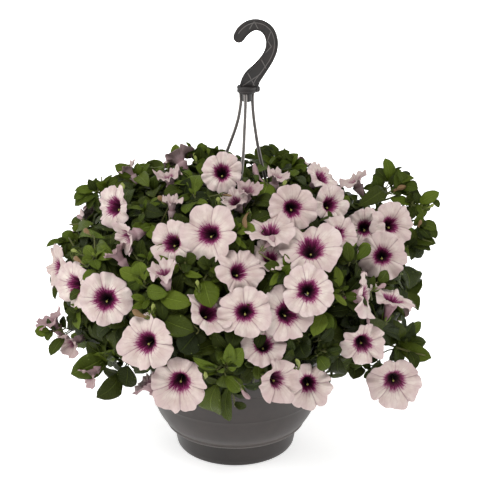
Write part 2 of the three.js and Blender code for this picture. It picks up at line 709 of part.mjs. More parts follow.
// A leafy shoot: it is bowed until its bare stem is clear, and then each leaf grows as long as its
// neighbours leave it room for and no bloom is hidden by it.
function addShoot(node, buds, whorls, blooms, { root, tip, size, count }, others) {
  const start = takeNearestBud(buds, root);
  const outside = [...others, whorls];
  const behind = blooms.filter((bloom) => !isBefore(bloom, tip));
  for (let attempt = 0; attempt < BOW_ATTEMPTS; attempt += 1) {
    const shift = sway(attempt * 0.6);
    const points = [start, root.clone().add(shift), tip.clone().add(shift)];
    const axis = root.clone().sub(tip).negate().normalize();
    axis.addScaledVector(outward(tip), OUTWARD_LEAN).normalize();
    const spin = draw(0, 2 * Math.PI);
    const rise = draw(0.3, 0.85);
    const grown = (lengths) => leafyStem(points, [1.1, 1.3, 1], axis, lengths, spin, rise);
    const lengths = Array.from({ length: count }, () => size * LEAF_SHARES[0]);
    let solid = grown(lengths);
    if (clearOf(solid, outside)) {
      lengths.forEach((_, k) => {
        for (const share of LEAF_SHARES.slice(1)) {
          const longer = lengths.with(k, size * share);
          const taller = grown(longer);
          if (!clearOf(taller, outside) || hidesBloom(taller, behind)) break;
          lengths[k] = longer[k];
          solid = taller;
        }
      });
      node.add(solid);
      const crown = [points[1].clone().lerp(points[2], 0.9), points[2]];
      whorls.add(leafyStem(crown, [1, 1], axis, lengths, spin, rise));
      return;
    }
  }
}

function shootSpots() {
  const spots = FRONT_SHOOTS.map(([rootAcross, rootDown, tipAcross, tipDown, size, count]) => ({
    root: seenAt(rootAcross, rootDown, 22),
    tip: seenAt(tipAcross, tipDown, 3),
    size,
    count,
  }));
  const placed = spots.map((spot) => spot.tip);
  hiddenPoints(HIDDEN_SHOOTS, placed, HIDDEN_SHOOT_SPACING).forEach((tip) => {
    const out = outward(tip);
    const lean = new THREE.Vector3(draw(-20, 20), draw(-20, 20), draw(-6, 20));
    spots.push({
      root: tip.clone().addScaledVector(out, -26),
      tip: tip.clone().add(lean.addScaledVector(out, -lean.dot(out))),
      size: draw(38, 46),
      count: 4,
    });
  });
  return spots;
}

// ---- Assembly ----

const basket = new THREE.Group();

const MATERIALS = {
  pot: new THREE.MeshStandardMaterial({ color: 0x55504d, roughness: 0.55 }),
  tray: new THREE.MeshStandardMaterial({ color: 0x443f3c, roughness: 0.55 }),
  hanger: new THREE.MeshStandardMaterial({ color: 0x45413f, roughness: 0.5 }),
  soil: new THREE.MeshStandardMaterial({ color: 0x2b1f17, roughness: 1 }),
  green: new THREE.MeshStandardMaterial({ color: 0x4b6a2a, roughness: 0.6 }),
  petal: new THREE.MeshStandardMaterial({ color: 0xe6d3d2, roughness: 0.6 }),
};

function place(name, solid, material) {
  const mesh = new THREE.Mesh(geometryFrom(solid), material);
  mesh.name = name;
  basket.add(mesh);
}

function rootHoles() {
  return Array.from({ length: WEDGES }, (_, wedge) => {
    const root = rootPlace(wedge);
    return disc(HOLE_RADIUS, 60, root.x, root.y, ROOT_DEPTH + 29, 6);
  });
}

const hardware = new Node();
const bowl = lathe(BOWL_PROFILE);
const soil = lathe(SOIL_PROFILE).subtract(Manifold.union(rootHoles()));
place('pot', bowl, MATERIALS.pot);
place('drip_tray', lathe(TRAY_PROFILE), MATERIALS.tray);
place('soil', soil, MATERIALS.soil);
hardware.add(bowl);
hardware.add(soil);
const hookSolid = hook();
place('hook', hookSolid, MATERIALS.hanger);
hardware.add(hookSolid);
for (const [side, shape] of Object.entries(STRAPS)) {
  const solid = strap(shape);
  place(`strap_${side}`, solid, MATERIALS.hanger);
  hardware.add(solid);
}

// Blooms that touch are one node.
const spots = bloomSpots();
const shoots = shootSpots();
const sprays = [];
for (const spot of spots) {
  const solid = corolla(spot);
  const box = solid.boundingBox();
  const touched = sprays.filter((spray) => !spray.clears(solid, box));
  const kept = touched[0] ?? new Node();
  if (!touched.length) {
    kept.name = spot.name;
    sprays.push(kept);
  }
  for (const other of touched.slice(1)) {
    other.parts.forEach((part) => kept.parts.push(part));
    sprays.splice(sprays.indexOf(other), 1);
  }
  kept.add(solid);
}

const wedges = Array.from({ length: WEDGES }, () => new Node());
const whorls = wedges.map(() => new Node());
const buds = wedges.map((_, wedge) => budsOf(wedge));
wedges.forEach((node, wedge) => {
  for (const { points, radii, sides } of mainStems(wedge)) node.add(tube(points, radii, sides));
});

const othersOf = (wedge) => [hardware, ...sprays, ...wedges.filter((_, k) => k !== wedge)];

for (const spot of spots) {
  const wedge = wedgeOf(spot.throat.clone().addScaledVector(spot.axis, -corollaTube(spot.width)));
  addStalk(wedges[wedge], buds[wedge], spot, othersOf(wedge));
}

for (const spot of shoots) {
  const wedge = wedgeOf(spot.root);
  addShoot(wedges[wedge], buds[wedge], whorls[wedge], spots, spot, othersOf(wedge));
}

sprays.forEach((spray) => {
  const solid = mainBody(Manifold.union(spray.parts.map((part) => part.solid)));
  place(`${spray.parts.length > 1 ? 'spray' : 'bloom'}_${spray.name}`, solid, MATERIALS.petal);
});
wedges.forEach((node, i) => {
  const solid = mainBody(Manifold.union(node.parts.map((part) => part.solid)));
  place(`leafy_stem_${String(i + 1).padStart(2, '0')}`, solid, MATERIALS.green);
});

export default basket;
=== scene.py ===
"""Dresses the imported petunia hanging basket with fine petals, leaves, stems and moulded plastic."""

from dataclasses import dataclass
import math
import random

import bpy
import numpy as np
from mathutils import Matrix, Vector


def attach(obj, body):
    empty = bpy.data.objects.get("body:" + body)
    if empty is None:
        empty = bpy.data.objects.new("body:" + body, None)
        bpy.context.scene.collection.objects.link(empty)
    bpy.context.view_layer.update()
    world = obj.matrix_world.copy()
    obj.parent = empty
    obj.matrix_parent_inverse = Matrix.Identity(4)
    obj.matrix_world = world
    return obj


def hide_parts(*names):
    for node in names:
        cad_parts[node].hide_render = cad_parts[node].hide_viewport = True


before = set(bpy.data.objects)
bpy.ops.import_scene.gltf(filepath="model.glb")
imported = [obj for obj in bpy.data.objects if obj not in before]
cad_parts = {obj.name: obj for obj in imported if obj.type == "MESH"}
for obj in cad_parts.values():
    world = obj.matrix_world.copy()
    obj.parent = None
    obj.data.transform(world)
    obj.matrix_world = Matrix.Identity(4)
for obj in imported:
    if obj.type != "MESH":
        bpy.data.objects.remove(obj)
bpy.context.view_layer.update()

# Everything below is worked out in millimetres and made in metres.
MM = 0.001

# ---- The basket's dimensions ----

# Pieces that touch keep this far apart.
GAP = 0.35
LATHE_STEPS = 128
# Edges that turn further than this many degrees are sharp.
BOWL_SHARP_FROM = 24
HANGER_SHARP_FROM = 32
# Closed outlines of the turned pieces: (radius, height), the outside first.
BOWL_PROFILE = [
    (0, 2.6), (75.5, 2.6), (77, 3.2), (85, 33), (85.4, 35.6), (86.2, 36.1), (96.6, 36.1),
    (97.6, 36.4), (98.6, 37.4), (98.7, 38.6), (98.0, 39.6), (98.2, 40.4), (100.8, 43.6), (103.8, 47),
    (107, 52.2), (110, 58), (113.2, 66), (115.3, 74), (116.6, 80), (117.1, 83.4), (117.4, 84),
    (117.6, 84.8), (117.4, 85.6), (118, 92), (118.8, 108), (119.2, 120.8), (119.9, 121.6),
    (120.7, 122.4), (120.9, 123.6), (121.5, 149.4), (121.3, 151.2), (120.5, 152), (118.8, 152),
    (118, 151.2), (117.5, 148), (115.6, 92), (113.1, 75), (107.8, 60), (101.2, 49), (95, 39.5),
    (83, 38.5), (74, 5), (0, 5),
]
# The bowl's ledge has a painted highlight: (height, how pale it is there), from a radius outwards.
LEDGE_SHINE = [(36.1, 0), (36.4, 0.22), (40, 0.18), (50, 0)]
LEDGE_RADIUS = 96
TRAY_PROFILE = [
    (0, 0), (77, 0), (79.5, 0.4), (81.6, 1.8), (83, 4), (84.2, 10), (88, 32.6), (88.5, 33.2), (88.5, 34.6),
    (88, 35), (86.8, 35), (86.3, 34.5), (81, 5.2), (77, 2.2), (0, 2.2),
]
# The hook's centre line from its tip to its foot: (x, z, half its width).
HOOK_LINE = [
    (5.8, 572, 7.2), (10.3, 578.4, 7.7), (17.5, 584.4, 7.4), (26.3, 587.2, 6.8), (35.8, 585.2, 6.8),
    (43.5, 578.6, 7.4), (47.4, 568.3, 7.8), (47.2, 557.1, 7.8), (43.2, 546.5, 7.9), (37.5, 537.8, 8.5),
    (30, 528.3, 9.7), (23, 519.8, 11.2), (19.2, 511.5, 11.8), (18, 503, 11.8),
]
HOOK_STEPS = 90
# The hook's tip is rounded off at these angles.
HOOK_TIP_ANGLES = (84, 70, 54, 38, 20)
# A quarter of the hook's section, from its edge in: (inset, depth).
HOOK_SECTION = [(0, -3.5), (0.9, -4.5), (1.9, -4.5), (2.6, -2.4)]
# How pale the sunk web is painted, a painted highlight against the darker edges.
WEB_SHINE = 0.1
# The ribs that stand in the hook's web: (x, z) of one end, then of the other.
HOOK_RIBS = [
    (19, 582, 25, 592.5), (25, 592.5, 30.5, 581), (46, 579, 42, 568), (42, 568, 47, 560),
    (47, 560, 37.5, 550), (33.5, 545, 40.5, 532), (16, 528, 27.5, 507), (33, 525, 8, 508),
]
# The ridge along the hook's web: its place from middle to edge, its depth and its radius.
RIDGE_SHARE = 0.4
RIDGE_DEPTH = 2.9
RIDGE_RADIUS = 0.9
RIB_WIDTH = 1.4
RIB_DEPTH = 3.9
# The middle of the stub that the straps hang from.
HUB = np.array([16.0, 0.0, 500.0])
STRAP_TOP_RADIUS = 9.6
# Each strap's azimuth, and how far from the hook's axis it is where it meets the foliage.
STRAPS = {"left": (148, 36.5), "right": (40, 24.7), "front": (258, 33)}
STRAP_STEPS = 60
STRAP_SIDES = 12
STRAP_FLATNESS = 0.8
# Where the rails stand on a strap, as corners round it.
STRAP_RAILS = [0, 4, 8]
# A strap's clip over the rim: boxes (near, far, low, high), and their width.
CLIP_BOXES = [(122.3, 125, 140, 155.4), (113.2, 125, 152.6, 155.4), (113.2, 115.8, 143, 155.4)]
CLIP_WIDTH = 11
# Outlines of the hook's turned parts: (radius, height).
COLLAR_PROFILE = [
    (11.8, 4.5), (13, 3.4), (13.1, 1), (12.5, 0.6), (12.5, -0.6), (13.1, -1), (12.8, -3.6), (11.4, -4.5),
]
KNOB_PROFILE = [(1.4, 3.9), (2.8, 3.2), (3.5, 1.4), (3.5, -1.4), (2.8, -3.2), (1.4, -3.9)]
STUB_PROFILE = [(6.6, 2), (6.6, -10), (5.6, -11)]
PIN_PROFILE = [(1.2, -4), (1.8, -3.4), (1.8, 3.4), (1.2, 4)]
# How much painted highlight is laid on the plastic.
PLAIN_TONE = (0, 0, 0)
# A painted highlight on the hook's ridges and ribs.
RIDGE_HIGHLIGHT = (0.26, 0, 0)
# Painted sheen on a strap's body, and painted highlights on its rails.
STRAP_SHEEN = (0.22, 0, 0)
RAIL_HIGHLIGHT = (1.0, 0, 0)

# ---- The plant's layout ----

# The leafy dome's outer face: half its width and depth, and its height over and under its centre.
DOME_CENTRE = 240
DOME_WIDE = 238
DOME_DEEP = 215
DOME_UP = 165
DOME_DOWN = 150
# The view: its middle and focal length in pixels, and where the camera stands.
VIEW_MIDDLE = 245
VIEW_FOCAL = 1157
LENS = 85
SENSOR_WIDTH = 36
VIEW_ELEVATION = math.radians(19.5)
VIEW_DISTANCE = 1560
VIEW_TARGET = np.array([13.5, 0.0, 292.0])
VIEW_RIGHT = np.array([1.0, 0.0, 0.0])
VIEW_UP = np.array([0.0, math.sin(VIEW_ELEVATION), math.cos(VIEW_ELEVATION)])
VIEW_FORWARD = np.array([0.0, math.cos(VIEW_ELEVATION), -math.sin(VIEW_ELEVATION)])
VIEW_EYE = VIEW_TARGET - VIEW_FORWARD * VIEW_DISTANCE

# Front blooms: (name, seen across, seen down, width, facing, sink, how far open, mauve, crumpled).
FRONT_BLOOMS = [
    ("f01", 116, 207, 57, (-0.65, 0.1, 0.75), 0, 1, 0, 0.2),
    ("f02", 131, 236, 54, (-0.8, -0.3, 0.45), 0, 0.7, 0.1, 0.1),
    ("f03", 59, 267, 58, (-0.85, 0.1, 0.5), 0, 1, 0, 0.2),
    ("f04", 77, 285, 62, (-0.7, -0.1, 0.65), 8, 1, 0, 0.2),
    ("f05", 106, 299, 66, (-0.05, 0.05, 1), 0, 1, 0, 0.15),
    ("f06", 147, 342, 70, (-0.3, 0, 0.95), 0, 1, 0, 0.2),
    ("f07", 180, 381, 70, (-0.1, -0.25, 0.95), 0, 1, 0, 0.2),
    ("f07b", 150, 387, 46, (-0.6, 0.6, 0.2), 14, 0.7, 0.7, 0.3),
    ("f08", 210, 234, 70, (-0.25, 0.05, 0.97), 0, 1, 0, 0.3),
    ("f09", 222, 173, 53, (0, 0.1, 1), -8, 1, 0, 0.1),
    ("f10", 173, 243, 56, (-0.3, 0.1, 0.9), 7, 1, 0, 0.3),
    ("f11", 238, 272, 58, (0.35, 0.25, 0.9), 12, 1, 0, 0.6),
    ("f12", 245, 312, 64, (0, 0, 1), 10, 1, 0, 0.35),
    ("f13", 286, 313, 68, (0.24, 0.12, 1), 17, 1, 0, 0.25),
    ("f14", 308, 291, 63, (0, 0.05, 1), 0, 1, 0, 0.15),
    ("f15", 311, 250, 76, (0, 0.5, 0.85), 2, 1, 0, 0.3),
    ("f16", 270, 232, 64, (-0.1, 0.8, 0.55), 8, 1, 0, 0.4),
    ("f17", 292, 208, 61, (0.15, -0.1, 0.98), 0, 1, 0, 0.15),
    ("f18", 329, 205, 50, (0.4, 0.1, 0.9), 7, 1, 0, 0.3),
    ("f19", 320, 179, 48, (0.55, 0.55, 0.6), 0, 0.9, 0, 0),
    ("f20", 356, 183, 46, (-0.45, 0.8, 0.35), 0, 0.8, 0.2, 0.1),
    ("f21", 365, 228, 54, (0.05, 0, 1), 16, 1, 0, 0.2),
    ("f22", 390, 225, 60, (0.2, 0.08, 1), -7, 1, 0, 0.2),
    ("f23", 382, 256, 63, (-0.1, 0.05, 1), 7, 1, 0, 0.25),
    ("f24", 361, 296, 66, (0.9, 0.1, 0.3), 4, 0.9, 0.1, 0.4),
    ("f26", 392, 301, 57, (0.25, 0.85, 0.4), -2, 1, 0, 0.3),
    ("f27", 362, 342, 60, (0.1, -0.2, 0.97), 3, 0.85, 0.05, 0.9),
    ("f28", 394, 380, 69, (0, -0.2, 0.98), 0, 1, 0.1, 0.2),
    ("f29", 276, 379, 60, (0.5, -0.05, 0.85), -17, 0.85, 0.1, 0.6),
    ("f30", 308, 383, 60, (0.05, -0.1, 1), 4, 1, 0, 0.3),
    ("f31", 263, 345, 56, (0, 0.3, 0.95), 19, 1, 0.1, 0.3),
    ("f32", 207, 313, 66, (0.45, 0.4, 0.78), 13, 0.85, 0, 0.4),
    ("f33", 179, 160, 50, (-0.5, 0.8, -0.2), 0, 0.95, 0.15, 0.2),
    ("f34", 170, 181, 46, (-0.2, 0.85, 0.35), 4, 0.6, 0.3, 1),
    ("f35", 172, 207, 36, (0.1, 0.9, 0.35), 4, 0.5, 0.1, 0.7),
    ("f36", 165, 277, 46, (-0.2, 0.85, 0.45), 0, 0.6, 0.2, 0.8),
    ("f37", 247, 194, 44, (0.2, 0.7, 0.6), 3, 0.6, 0.6, 0.6),
    ("f38", 337, 235, 50, (0.3, 0.1, 0.9), 8, 1, 0, 0.3),
    ("f39", 270, 258, 50, (0, 0.65, 0.75), 20, 1, 0, 0.5),
    ("f40", 236, 203, 42, (-0.3, 0.5, 0.7), 10, 0.7, 0.1, 0.4),
    ("f41", 74, 342, 44, (-0.6, -0.3, 0.6), 4, 0.6, 0.5, 0.9),
    ("f42", 54, 324, 48, (-0.5, 0.8, 0.3), 2, 0.7, 1, 0.2),
    ("f43", 92, 373, 40, (-0.5, -0.4, 0.5), 10, 0.6, 0.8, 0.5),
    ("f44", 119, 257, 42, (-0.5, 0.7, 0.2), 8, 0.6, 0.8, 0.3),
    ("f45", 276, 180, 42, (0.3, 0.8, 0.4), 4, 0.6, 0.2, 0.3),
    ("f46", 130, 172, 38, (-0.5, 0.8, 0.2), 4, 0.6, 0.3, 0.3),
]
# The blooms that touch and so make up one node, by the node's name.
SPRAYS = {
    "spray_f02": ["f02", "f44"],
    "spray_f08": ["f08", "f10", "f11", "f13", "f14", "f15", "f31", "f16", "f17", "f39"],
    "spray_f21": ["f21", "f23"],
    "spray_f24": ["f24", "f26"],
    "spray_f37": ["f37", "f40"],
}
# The stems of the leafy shoots in front: (root across, root down, tip across, tip down).
FRONT_SHOOTS = [
    (98, 202, 80, 190), (108, 194, 101, 174), (138, 188, 135, 166), (136, 208, 122, 199),
    (158, 233, 143, 224), (92, 230, 66, 224), (84, 240, 52, 243), (104, 264, 95, 256), (180, 166, 175, 147),
    (200, 168, 196, 146), (212, 166, 215, 148), (196, 197, 184, 176), (252, 188, 247, 167),
    (283, 180, 271, 146), (290, 182, 296, 153), (300, 184, 312, 168), (272, 204, 256, 190),
    (388, 194, 389, 160), (383, 198, 374, 176), (397, 196, 412, 175), (402, 206, 434, 199),
    (402, 224, 434, 229), (404, 240, 436, 243), (398, 262, 410, 278), (352, 260, 348, 238),
    (346, 306, 337, 276), (350, 314, 372, 300), (328, 338, 319, 316), (286, 284, 277, 264),
    (188, 272, 172, 256), (204, 282, 212, 258), (238, 240, 250, 225), (149, 286, 138, 267),
    (158, 304, 176, 297), (204, 296, 214, 286), (172, 334, 184, 320), (226, 374, 224, 350),
    (222, 380, 213, 412), (228, 380, 236, 410), (214, 372, 194, 360), (252, 384, 257, 362),
    (284, 364, 296, 374), (322, 372, 326, 352), (336, 362, 354, 370), (398, 338, 420, 326),
    (404, 350, 428, 356), (66, 330, 38, 330), (68, 346, 50, 354), (84, 330, 79, 308), (94, 352, 80, 340),
    (108, 356, 78, 370), (116, 376, 106, 398), (126, 368, 133, 384), (130, 358, 120, 346),
    (148, 262, 130, 250), (340, 214, 334, 196), (232, 262, 226, 252), (160, 196, 152, 186),
    (372, 286, 376, 272), (64, 300, 48, 306),
]
# Leaves in front: (base across, base down, tip across, tip down, width seen, how light, as painted light and
# shade).
FRONT_LEAVES = [
    (95, 190, 75, 189.5, 9, 0.55), (96, 195, 74.5, 204.5, 12, 0.45), (95, 197, 88, 209, 8, 0.4),
    (95, 187, 96, 177.5, 4, 0.4), (100, 190, 112, 174, 4, 0.4), (98, 188, 101, 181, 3, 0.25),
    (138, 176, 115, 165, 13, 0.5), (140, 175, 137, 163, 8, 0.6), (141, 178, 148, 163.5, 12, 0.5),
    (137, 177, 147, 184, 14, 0.5), (124, 180, 113, 183, 5, 0.3), (136, 194, 120, 182, 9, 0.3),
    (136, 192, 124, 204, 16, 0.35), (138, 208, 121, 209.5, 6, 0.5), (78, 228, 91, 223, 11, 0.45),
    (80, 231, 72, 227, 7, 0.6), (74, 240, 62, 233, 12, 0.5), (64, 242, 46, 245.5, 6, 0.5),
    (79, 243, 99, 236, 8, 0.55), (74, 240, 66, 250, 10, 0.3), (98, 244, 110, 253, 9, 0.45),
    (174, 160, 176, 144, 10, 0.7), (167, 167, 155, 170, 5, 0.5), (170, 175, 162, 174, 3, 0.7),
    (192, 149, 186, 142, 3, 0.4), (199, 154, 202, 142.5, 9, 0.5), (211, 157, 207, 148, 4, 0.7),
    (217, 156, 217, 145.5, 5, 0.5), (219, 154, 234, 155, 6, 0.5), (200, 160, 212, 156, 9, 0.45),
    (205, 170, 198, 158, 9, 0.4), (207, 172, 196, 166, 10, 0.5), (195, 193, 199, 173.5, 17, 0.6),
    (192, 180, 183, 170, 7, 0.55), (192, 186, 174, 183, 7, 0.55), (182, 190, 165, 193, 13, 0.3),
    (190, 196, 178, 199, 7, 0.45), (195, 196, 196, 185, 3, 0.65), (193, 194, 189, 188, 3, 0.6),
    (196, 203, 207, 203, 7, 0.6), (196, 202, 185, 212, 13, 0.5), (218, 200, 220, 213, 10, 0.15),
    (143, 212, 146, 199, 4, 0.55), (143, 210, 131, 207, 5, 0.5), (145, 212, 159, 203, 5, 0.55),
    (150, 203, 158, 198, 4, 0.6), (143, 214, 140, 221, 6, 0.4), (146, 210, 160, 214, 14, 0.12),
    (151, 226, 140, 229, 9, 0.5), (150, 226, 157, 238, 12, 0.6), (180, 226, 177, 236, 8, 0.6),
    (278, 158, 269.5, 143.5, 8, 0.4), (282, 156, 285, 148, 3, 0.4), (284, 158, 288, 151, 3, 0.4),
    (290, 167, 297, 153, 10, 0.6), (281, 160, 269.5, 162, 7, 0.5), (272, 169, 258, 170, 10, 0.5),
    (291, 170, 313, 170, 4, 0.25), (289, 178, 298, 170, 8, 0.5), (285, 165, 279, 161, 5, 0.4),
    (262, 200, 268, 182, 20, 0.6), (255, 203, 276, 203, 14, 0.2), (294, 178, 305, 184, 8, 0.25),
    (233, 159, 241, 157, 4, 0.25), (249, 178, 243, 167, 5, 0.35), (250, 178, 247, 167, 4, 0.3),
    (252, 176, 257, 180, 6, 0.4), (246, 178, 244, 184, 5, 0.35), (236, 232, 255, 229, 13, 0.75),
    (236, 226, 231, 218, 5, 0.5), (238, 228, 241, 223, 3, 0.7), (234, 236, 240, 245, 7, 0.6),
    (236, 240, 246, 248, 5, 0.5), (338, 219, 320, 219, 4, 0.3), (331, 220, 328, 211, 5, 0.35),
    (389, 180, 386, 158, 12, 0.55), (394, 170, 402, 167, 2.5, 0.3), (396, 176, 400.5, 173, 1.5, 0.5),
    (392, 185, 414, 177, 8, 0.45), (383, 183, 375.5, 174, 2.5, 0.35), (384, 182, 380, 173, 2.5, 0.3),
    (385, 190, 363, 187, 8, 0.4), (384, 190, 362, 203, 16, 0.2), (411, 205, 391, 198, 9, 0.55),
    (419, 203, 439, 192, 12, 0.6), (414, 199, 412, 189, 6, 0.35), (416, 205, 422, 220, 9, 0.35),
    (420, 224, 437, 229, 11, 0.4), (411, 240, 404, 225, 10, 0.6), (413, 242, 436, 243, 11, 0.35),
    (405, 242, 396, 236, 5, 0.3), (411, 246, 431, 249, 9, 0.3), (346, 250, 355, 236, 12, 0.6),
    (358, 250, 371, 245, 8, 0.65), (95, 257, 83, 247, 11, 0.65), (97, 256, 106, 246, 10, 0.6),
    (98, 258, 110, 258, 9, 0.6), (95, 260, 98, 268, 12, 0.55), (93, 260, 81, 261, 9, 0.6),
    (96, 257, 92, 252, 3, 0.8), (96, 258, 99, 252, 3, 0.8), (98, 272, 82, 279, 9, 0.6),
    (81, 292, 69, 298, 10, 0.3), (79, 304, 70, 305, 3, 0.5), (79, 306, 74, 309, 3, 0.5),
    (79, 309, 77, 329, 10, 0.6), (50, 332, 34.5, 331, 11, 0.55), (52, 330, 46, 340, 8, 0.4),
    (56, 330, 46, 319, 6, 0.3), (62, 332, 54, 318, 6, 0.3), (66, 328, 62, 316, 8, 0.25),
    (70, 330, 72, 318, 9, 0.2), (64, 337, 50, 355, 12, 0.35), (90, 342, 74, 344, 12, 0.55),
    (72, 256, 66, 254, 5, 0.3), (148, 262, 161, 244, 5, 0.5), (154, 257, 169, 260, 5, 0.55),
    (147, 258, 137, 255, 3, 0.5), (141, 277, 119, 270, 14, 0.65), (143, 276, 140, 262, 17, 0.65),
    (145, 276, 155, 272, 7, 0.5), (144, 280, 141, 272, 3.5, 0.7), (144, 281, 147, 271, 3, 0.7),
    (143, 285, 136, 278, 4, 0.6), (147, 291, 166, 294, 15, 0.6), (160, 297, 190, 304, 18, 0.6),
    (146, 300, 131, 296, 7, 0.6), (147, 303, 132, 308, 7, 0.55), (149, 300, 143, 309, 6, 0.5),
    (154, 316, 153, 303, 3, 0.75), (148, 310, 155, 316, 3, 0.7), (164, 320, 193, 331, 22, 0.32),
    (196, 334, 180, 352, 24, 0.04), (185, 272, 201, 276, 7, 0.6), (204, 281, 211, 307, 24, 0.5),
    (178, 265, 166, 265, 9, 0.6), (184, 262, 176, 256, 8, 0.3), (186, 262, 196, 256, 12, 0.25),
    (185, 264, 186, 272, 10, 0.3), (208, 266, 198, 262, 13, 0.25), (210, 266, 217, 257, 10, 0.2),
    (211, 268, 218, 273, 8, 0.35), (208, 270, 204, 258, 8, 0.2), (280, 272, 265, 265, 11, 0.25),
    (281, 272, 270, 285, 8, 0.65), (286, 272, 278, 284, 9, 0.25), (288, 270, 285, 254, 8, 0.5),
    (288, 271, 300, 267, 4, 0.3), (323, 313, 313, 335, 15, 0.7), (338, 288, 336.5, 267, 9.5, 0.7),
    (334, 294, 347, 305, 6, 0.8), (345, 294, 358, 297, 9, 0.45), (345, 300, 368, 307, 17, 0.3),
    (342, 290, 349, 286, 4, 0.4), (350, 262, 347, 242, 12, 0.4), (357, 260, 370, 244, 10, 0.5),
    (400, 266, 411, 288, 22, 0.2), (378, 282, 388, 271, 12, 0.4), (385, 288, 394, 289, 4, 0.3),
    (366, 296, 362, 272, 9, 0.25), (370, 292, 374, 276, 7, 0.3), (402, 333, 422, 322.5, 12, 0.5),
    (405, 340, 426, 343, 14, 0.4), (372, 322, 394, 340, 20, 0.06), (108, 356, 72, 375, 24, 0.4),
    (113, 350, 94, 357, 17, 0.5), (120, 374, 98, 398, 20, 0.05), (128, 366, 125, 387, 22, 0.05),
    (226, 364, 230, 345.5, 13, 0.65), (228, 366, 242, 349, 17, 0.6), (218, 367, 193.5, 359, 9, 0.6),
    (216, 370, 198, 368, 10, 0.35), (226, 376, 240, 392.5, 15, 0.6), (217, 384, 214, 417, 24, 0.4),
    (229, 386, 229, 422.5, 13, 0.35), (225, 364, 221, 358, 4, 0.7), (227, 363, 231, 358, 4, 0.7),
    (224, 368, 217, 372, 5, 0.6), (228, 368, 236, 368, 5, 0.6), (215, 372, 203, 374, 5, 0.5),
    (257, 362, 258, 380, 12, 0.4), (282, 362, 297, 375, 8, 0.5), (281, 364, 273, 360, 6, 0.7),
    (285, 360, 292, 350, 9, 0.3), (292, 352, 290, 340, 8, 0.3), (300, 342, 306, 358, 20, 0.1),
    (318, 356, 328, 370, 14, 0.45), (326, 352, 341, 349, 10, 0.25), (338, 358, 340, 376, 16, 0.05),
    (352, 362, 354, 379, 18, 0.05), (330, 350, 342, 350, 12, 0.25), (372, 370, 364, 378, 8, 0.3),
    (399, 343, 431, 358, 17, 0.45), (411, 338, 426, 343, 13, 0.35), (398, 334, 388, 342, 8, 0.35),
    (395, 328, 371, 318, 14, 0.15), (399, 340, 396, 322, 12, 0.25), (398, 338, 386, 330, 11, 0.15),
    (399, 342, 391, 361, 13, 0.12), (380, 360, 366, 376, 12, 0.1), (321, 340, 333, 329, 11, 0.1),
]
# A leaf that is seen at least this wide isn't hidden by the small leaves of a shoot.
BROAD_LEAF = 11
BROAD_LEAVES = np.array([row[:5] for row in FRONT_LEAVES if row[4] >= BROAD_LEAF])
# Buds and wilted blooms: (base across, base down, tip across, tip down, width in mm, kind).
FRONT_BUDS = [
    (266, 183, 254, 163, 7, "mauve"), (241, 386, 250, 399, 6, "mauve"), (374, 290, 386, 284, 6, "mauve"),
    (168, 168, 167, 159, 5, "green"), (196, 162, 194, 153, 5, "green"), (219, 206, 218, 197, 5.5, "green"),
    (201, 380, 205, 372, 5, "green"), (284, 190, 286, 180, 5, "green"), (123, 192, 121, 183, 4.5, "green"),
    (80, 254, 71, 250, 4.5, "green"), (199, 289, 197, 280, 4.5, "green"), (152, 312, 154, 304, 4.5, "green"),
    (84, 222, 77, 215, 5, "mauve"), (408, 194, 412, 184, 4.5, "green"), (425, 208, 434, 204, 4.5, "green"),
    (298, 368, 296, 359, 5, "green"), (391, 193, 406, 186, 7, "brown"), (415, 232, 421, 219, 6, "brown"),
    (85, 265, 74, 257, 6, "brown"), (249, 212, 246, 228, 6, "brown"), (166, 204, 158, 196, 6, "brown"),
    (92, 236, 84, 229, 6, "brown"), (150, 318, 132, 310, 7, "brown"), (221, 195, 232, 196, 3, "brown"),
    (262, 250, 274, 235, 9, "mauve"), (364, 310, 368.5, 325, 4, "mauve"),
]
# The tone that makes a bud mauve, green or brown.
BUD_MAUVES = {"mauve": 0.7, "green": -1.0, "brown": 2.0}
# The far side's blooms and shoots stand along a spiral down the dome, where it faces away from the eye.
SPIRAL_TURN = math.pi * (3 - math.sqrt(5))
SPIRAL_TOP = 0.97
SPIRAL_FALL = 1.62
HIDDEN_FROM = 0.12
HIDDEN_CLUSTERS = 26
HIDDEN_CLUSTER_SPACING = 50
HIDDEN_PAIR_OFFSET = 23
HIDDEN_BLOOM_WIDTHS = (56, 68)
HIDDEN_SHOOTS = 78
HIDDEN_SHOOT_SPACING = 36
HIDDEN_LEAF_LENGTHS = (38, 46)
# How far under the outer face a shoot's root and tip are.
ROOT_SINK = 26
TIP_SINK = 12

LOBES = 5
LOBE_STEPS = 16
# The plants' stems: nine wedges of the plant, three to each of three roots.
WEDGES = 9
WEDGE_START = 10
PLANT_RADIUS = 34
STEM_RADIUS = 13
STEM_FOOT = 116
STEM_FORK = 166
# A stem's arms: the middle and the end, each (distance from the axis, height).
LOW_ARM = [(92, 214), (150, 208)]
HIGH_ARM = [(64, 250), (78, 318)]
LAYOUT_SEED = 20417
PLANT_SEED = 811
FILLING_SEED = 4242
# Shells of leaves inside the plant: (share of the outer face, leaves, how light, as painted shade that
# darkens deeper shells).
FILL_SHELLS = [(0.98, 680, 0.42), (0.9, 620, 0.2), (0.78, 380, 0.06), (0.6, 200, 0.0)]
FILL_TOP = 0.96
FILL_FALL = 1.6
FILL_TURN = 9
FILL_LENGTHS = (24, 40)


def vec(x, y, z):
    return np.array([x, y, z], float)


def unit(v):
    return v / max(np.linalg.norm(v), 1e-9)


def polar(radius, degrees, z):
    angle = math.radians(degrees)
    return vec(radius * math.cos(angle), radius * math.sin(angle), z)


# ---- Layout rules ----

class Draws:
    """The small integer rule that the part's source draws from."""

    def __init__(self, state):
        self.state = state

    def between(self, low, high):
        self.state = (self.state * 1103515245 + 12345) & 0x7FFFFFFF
        return low + (high - low) * (self.state >> 8) / 0x7FFFFF


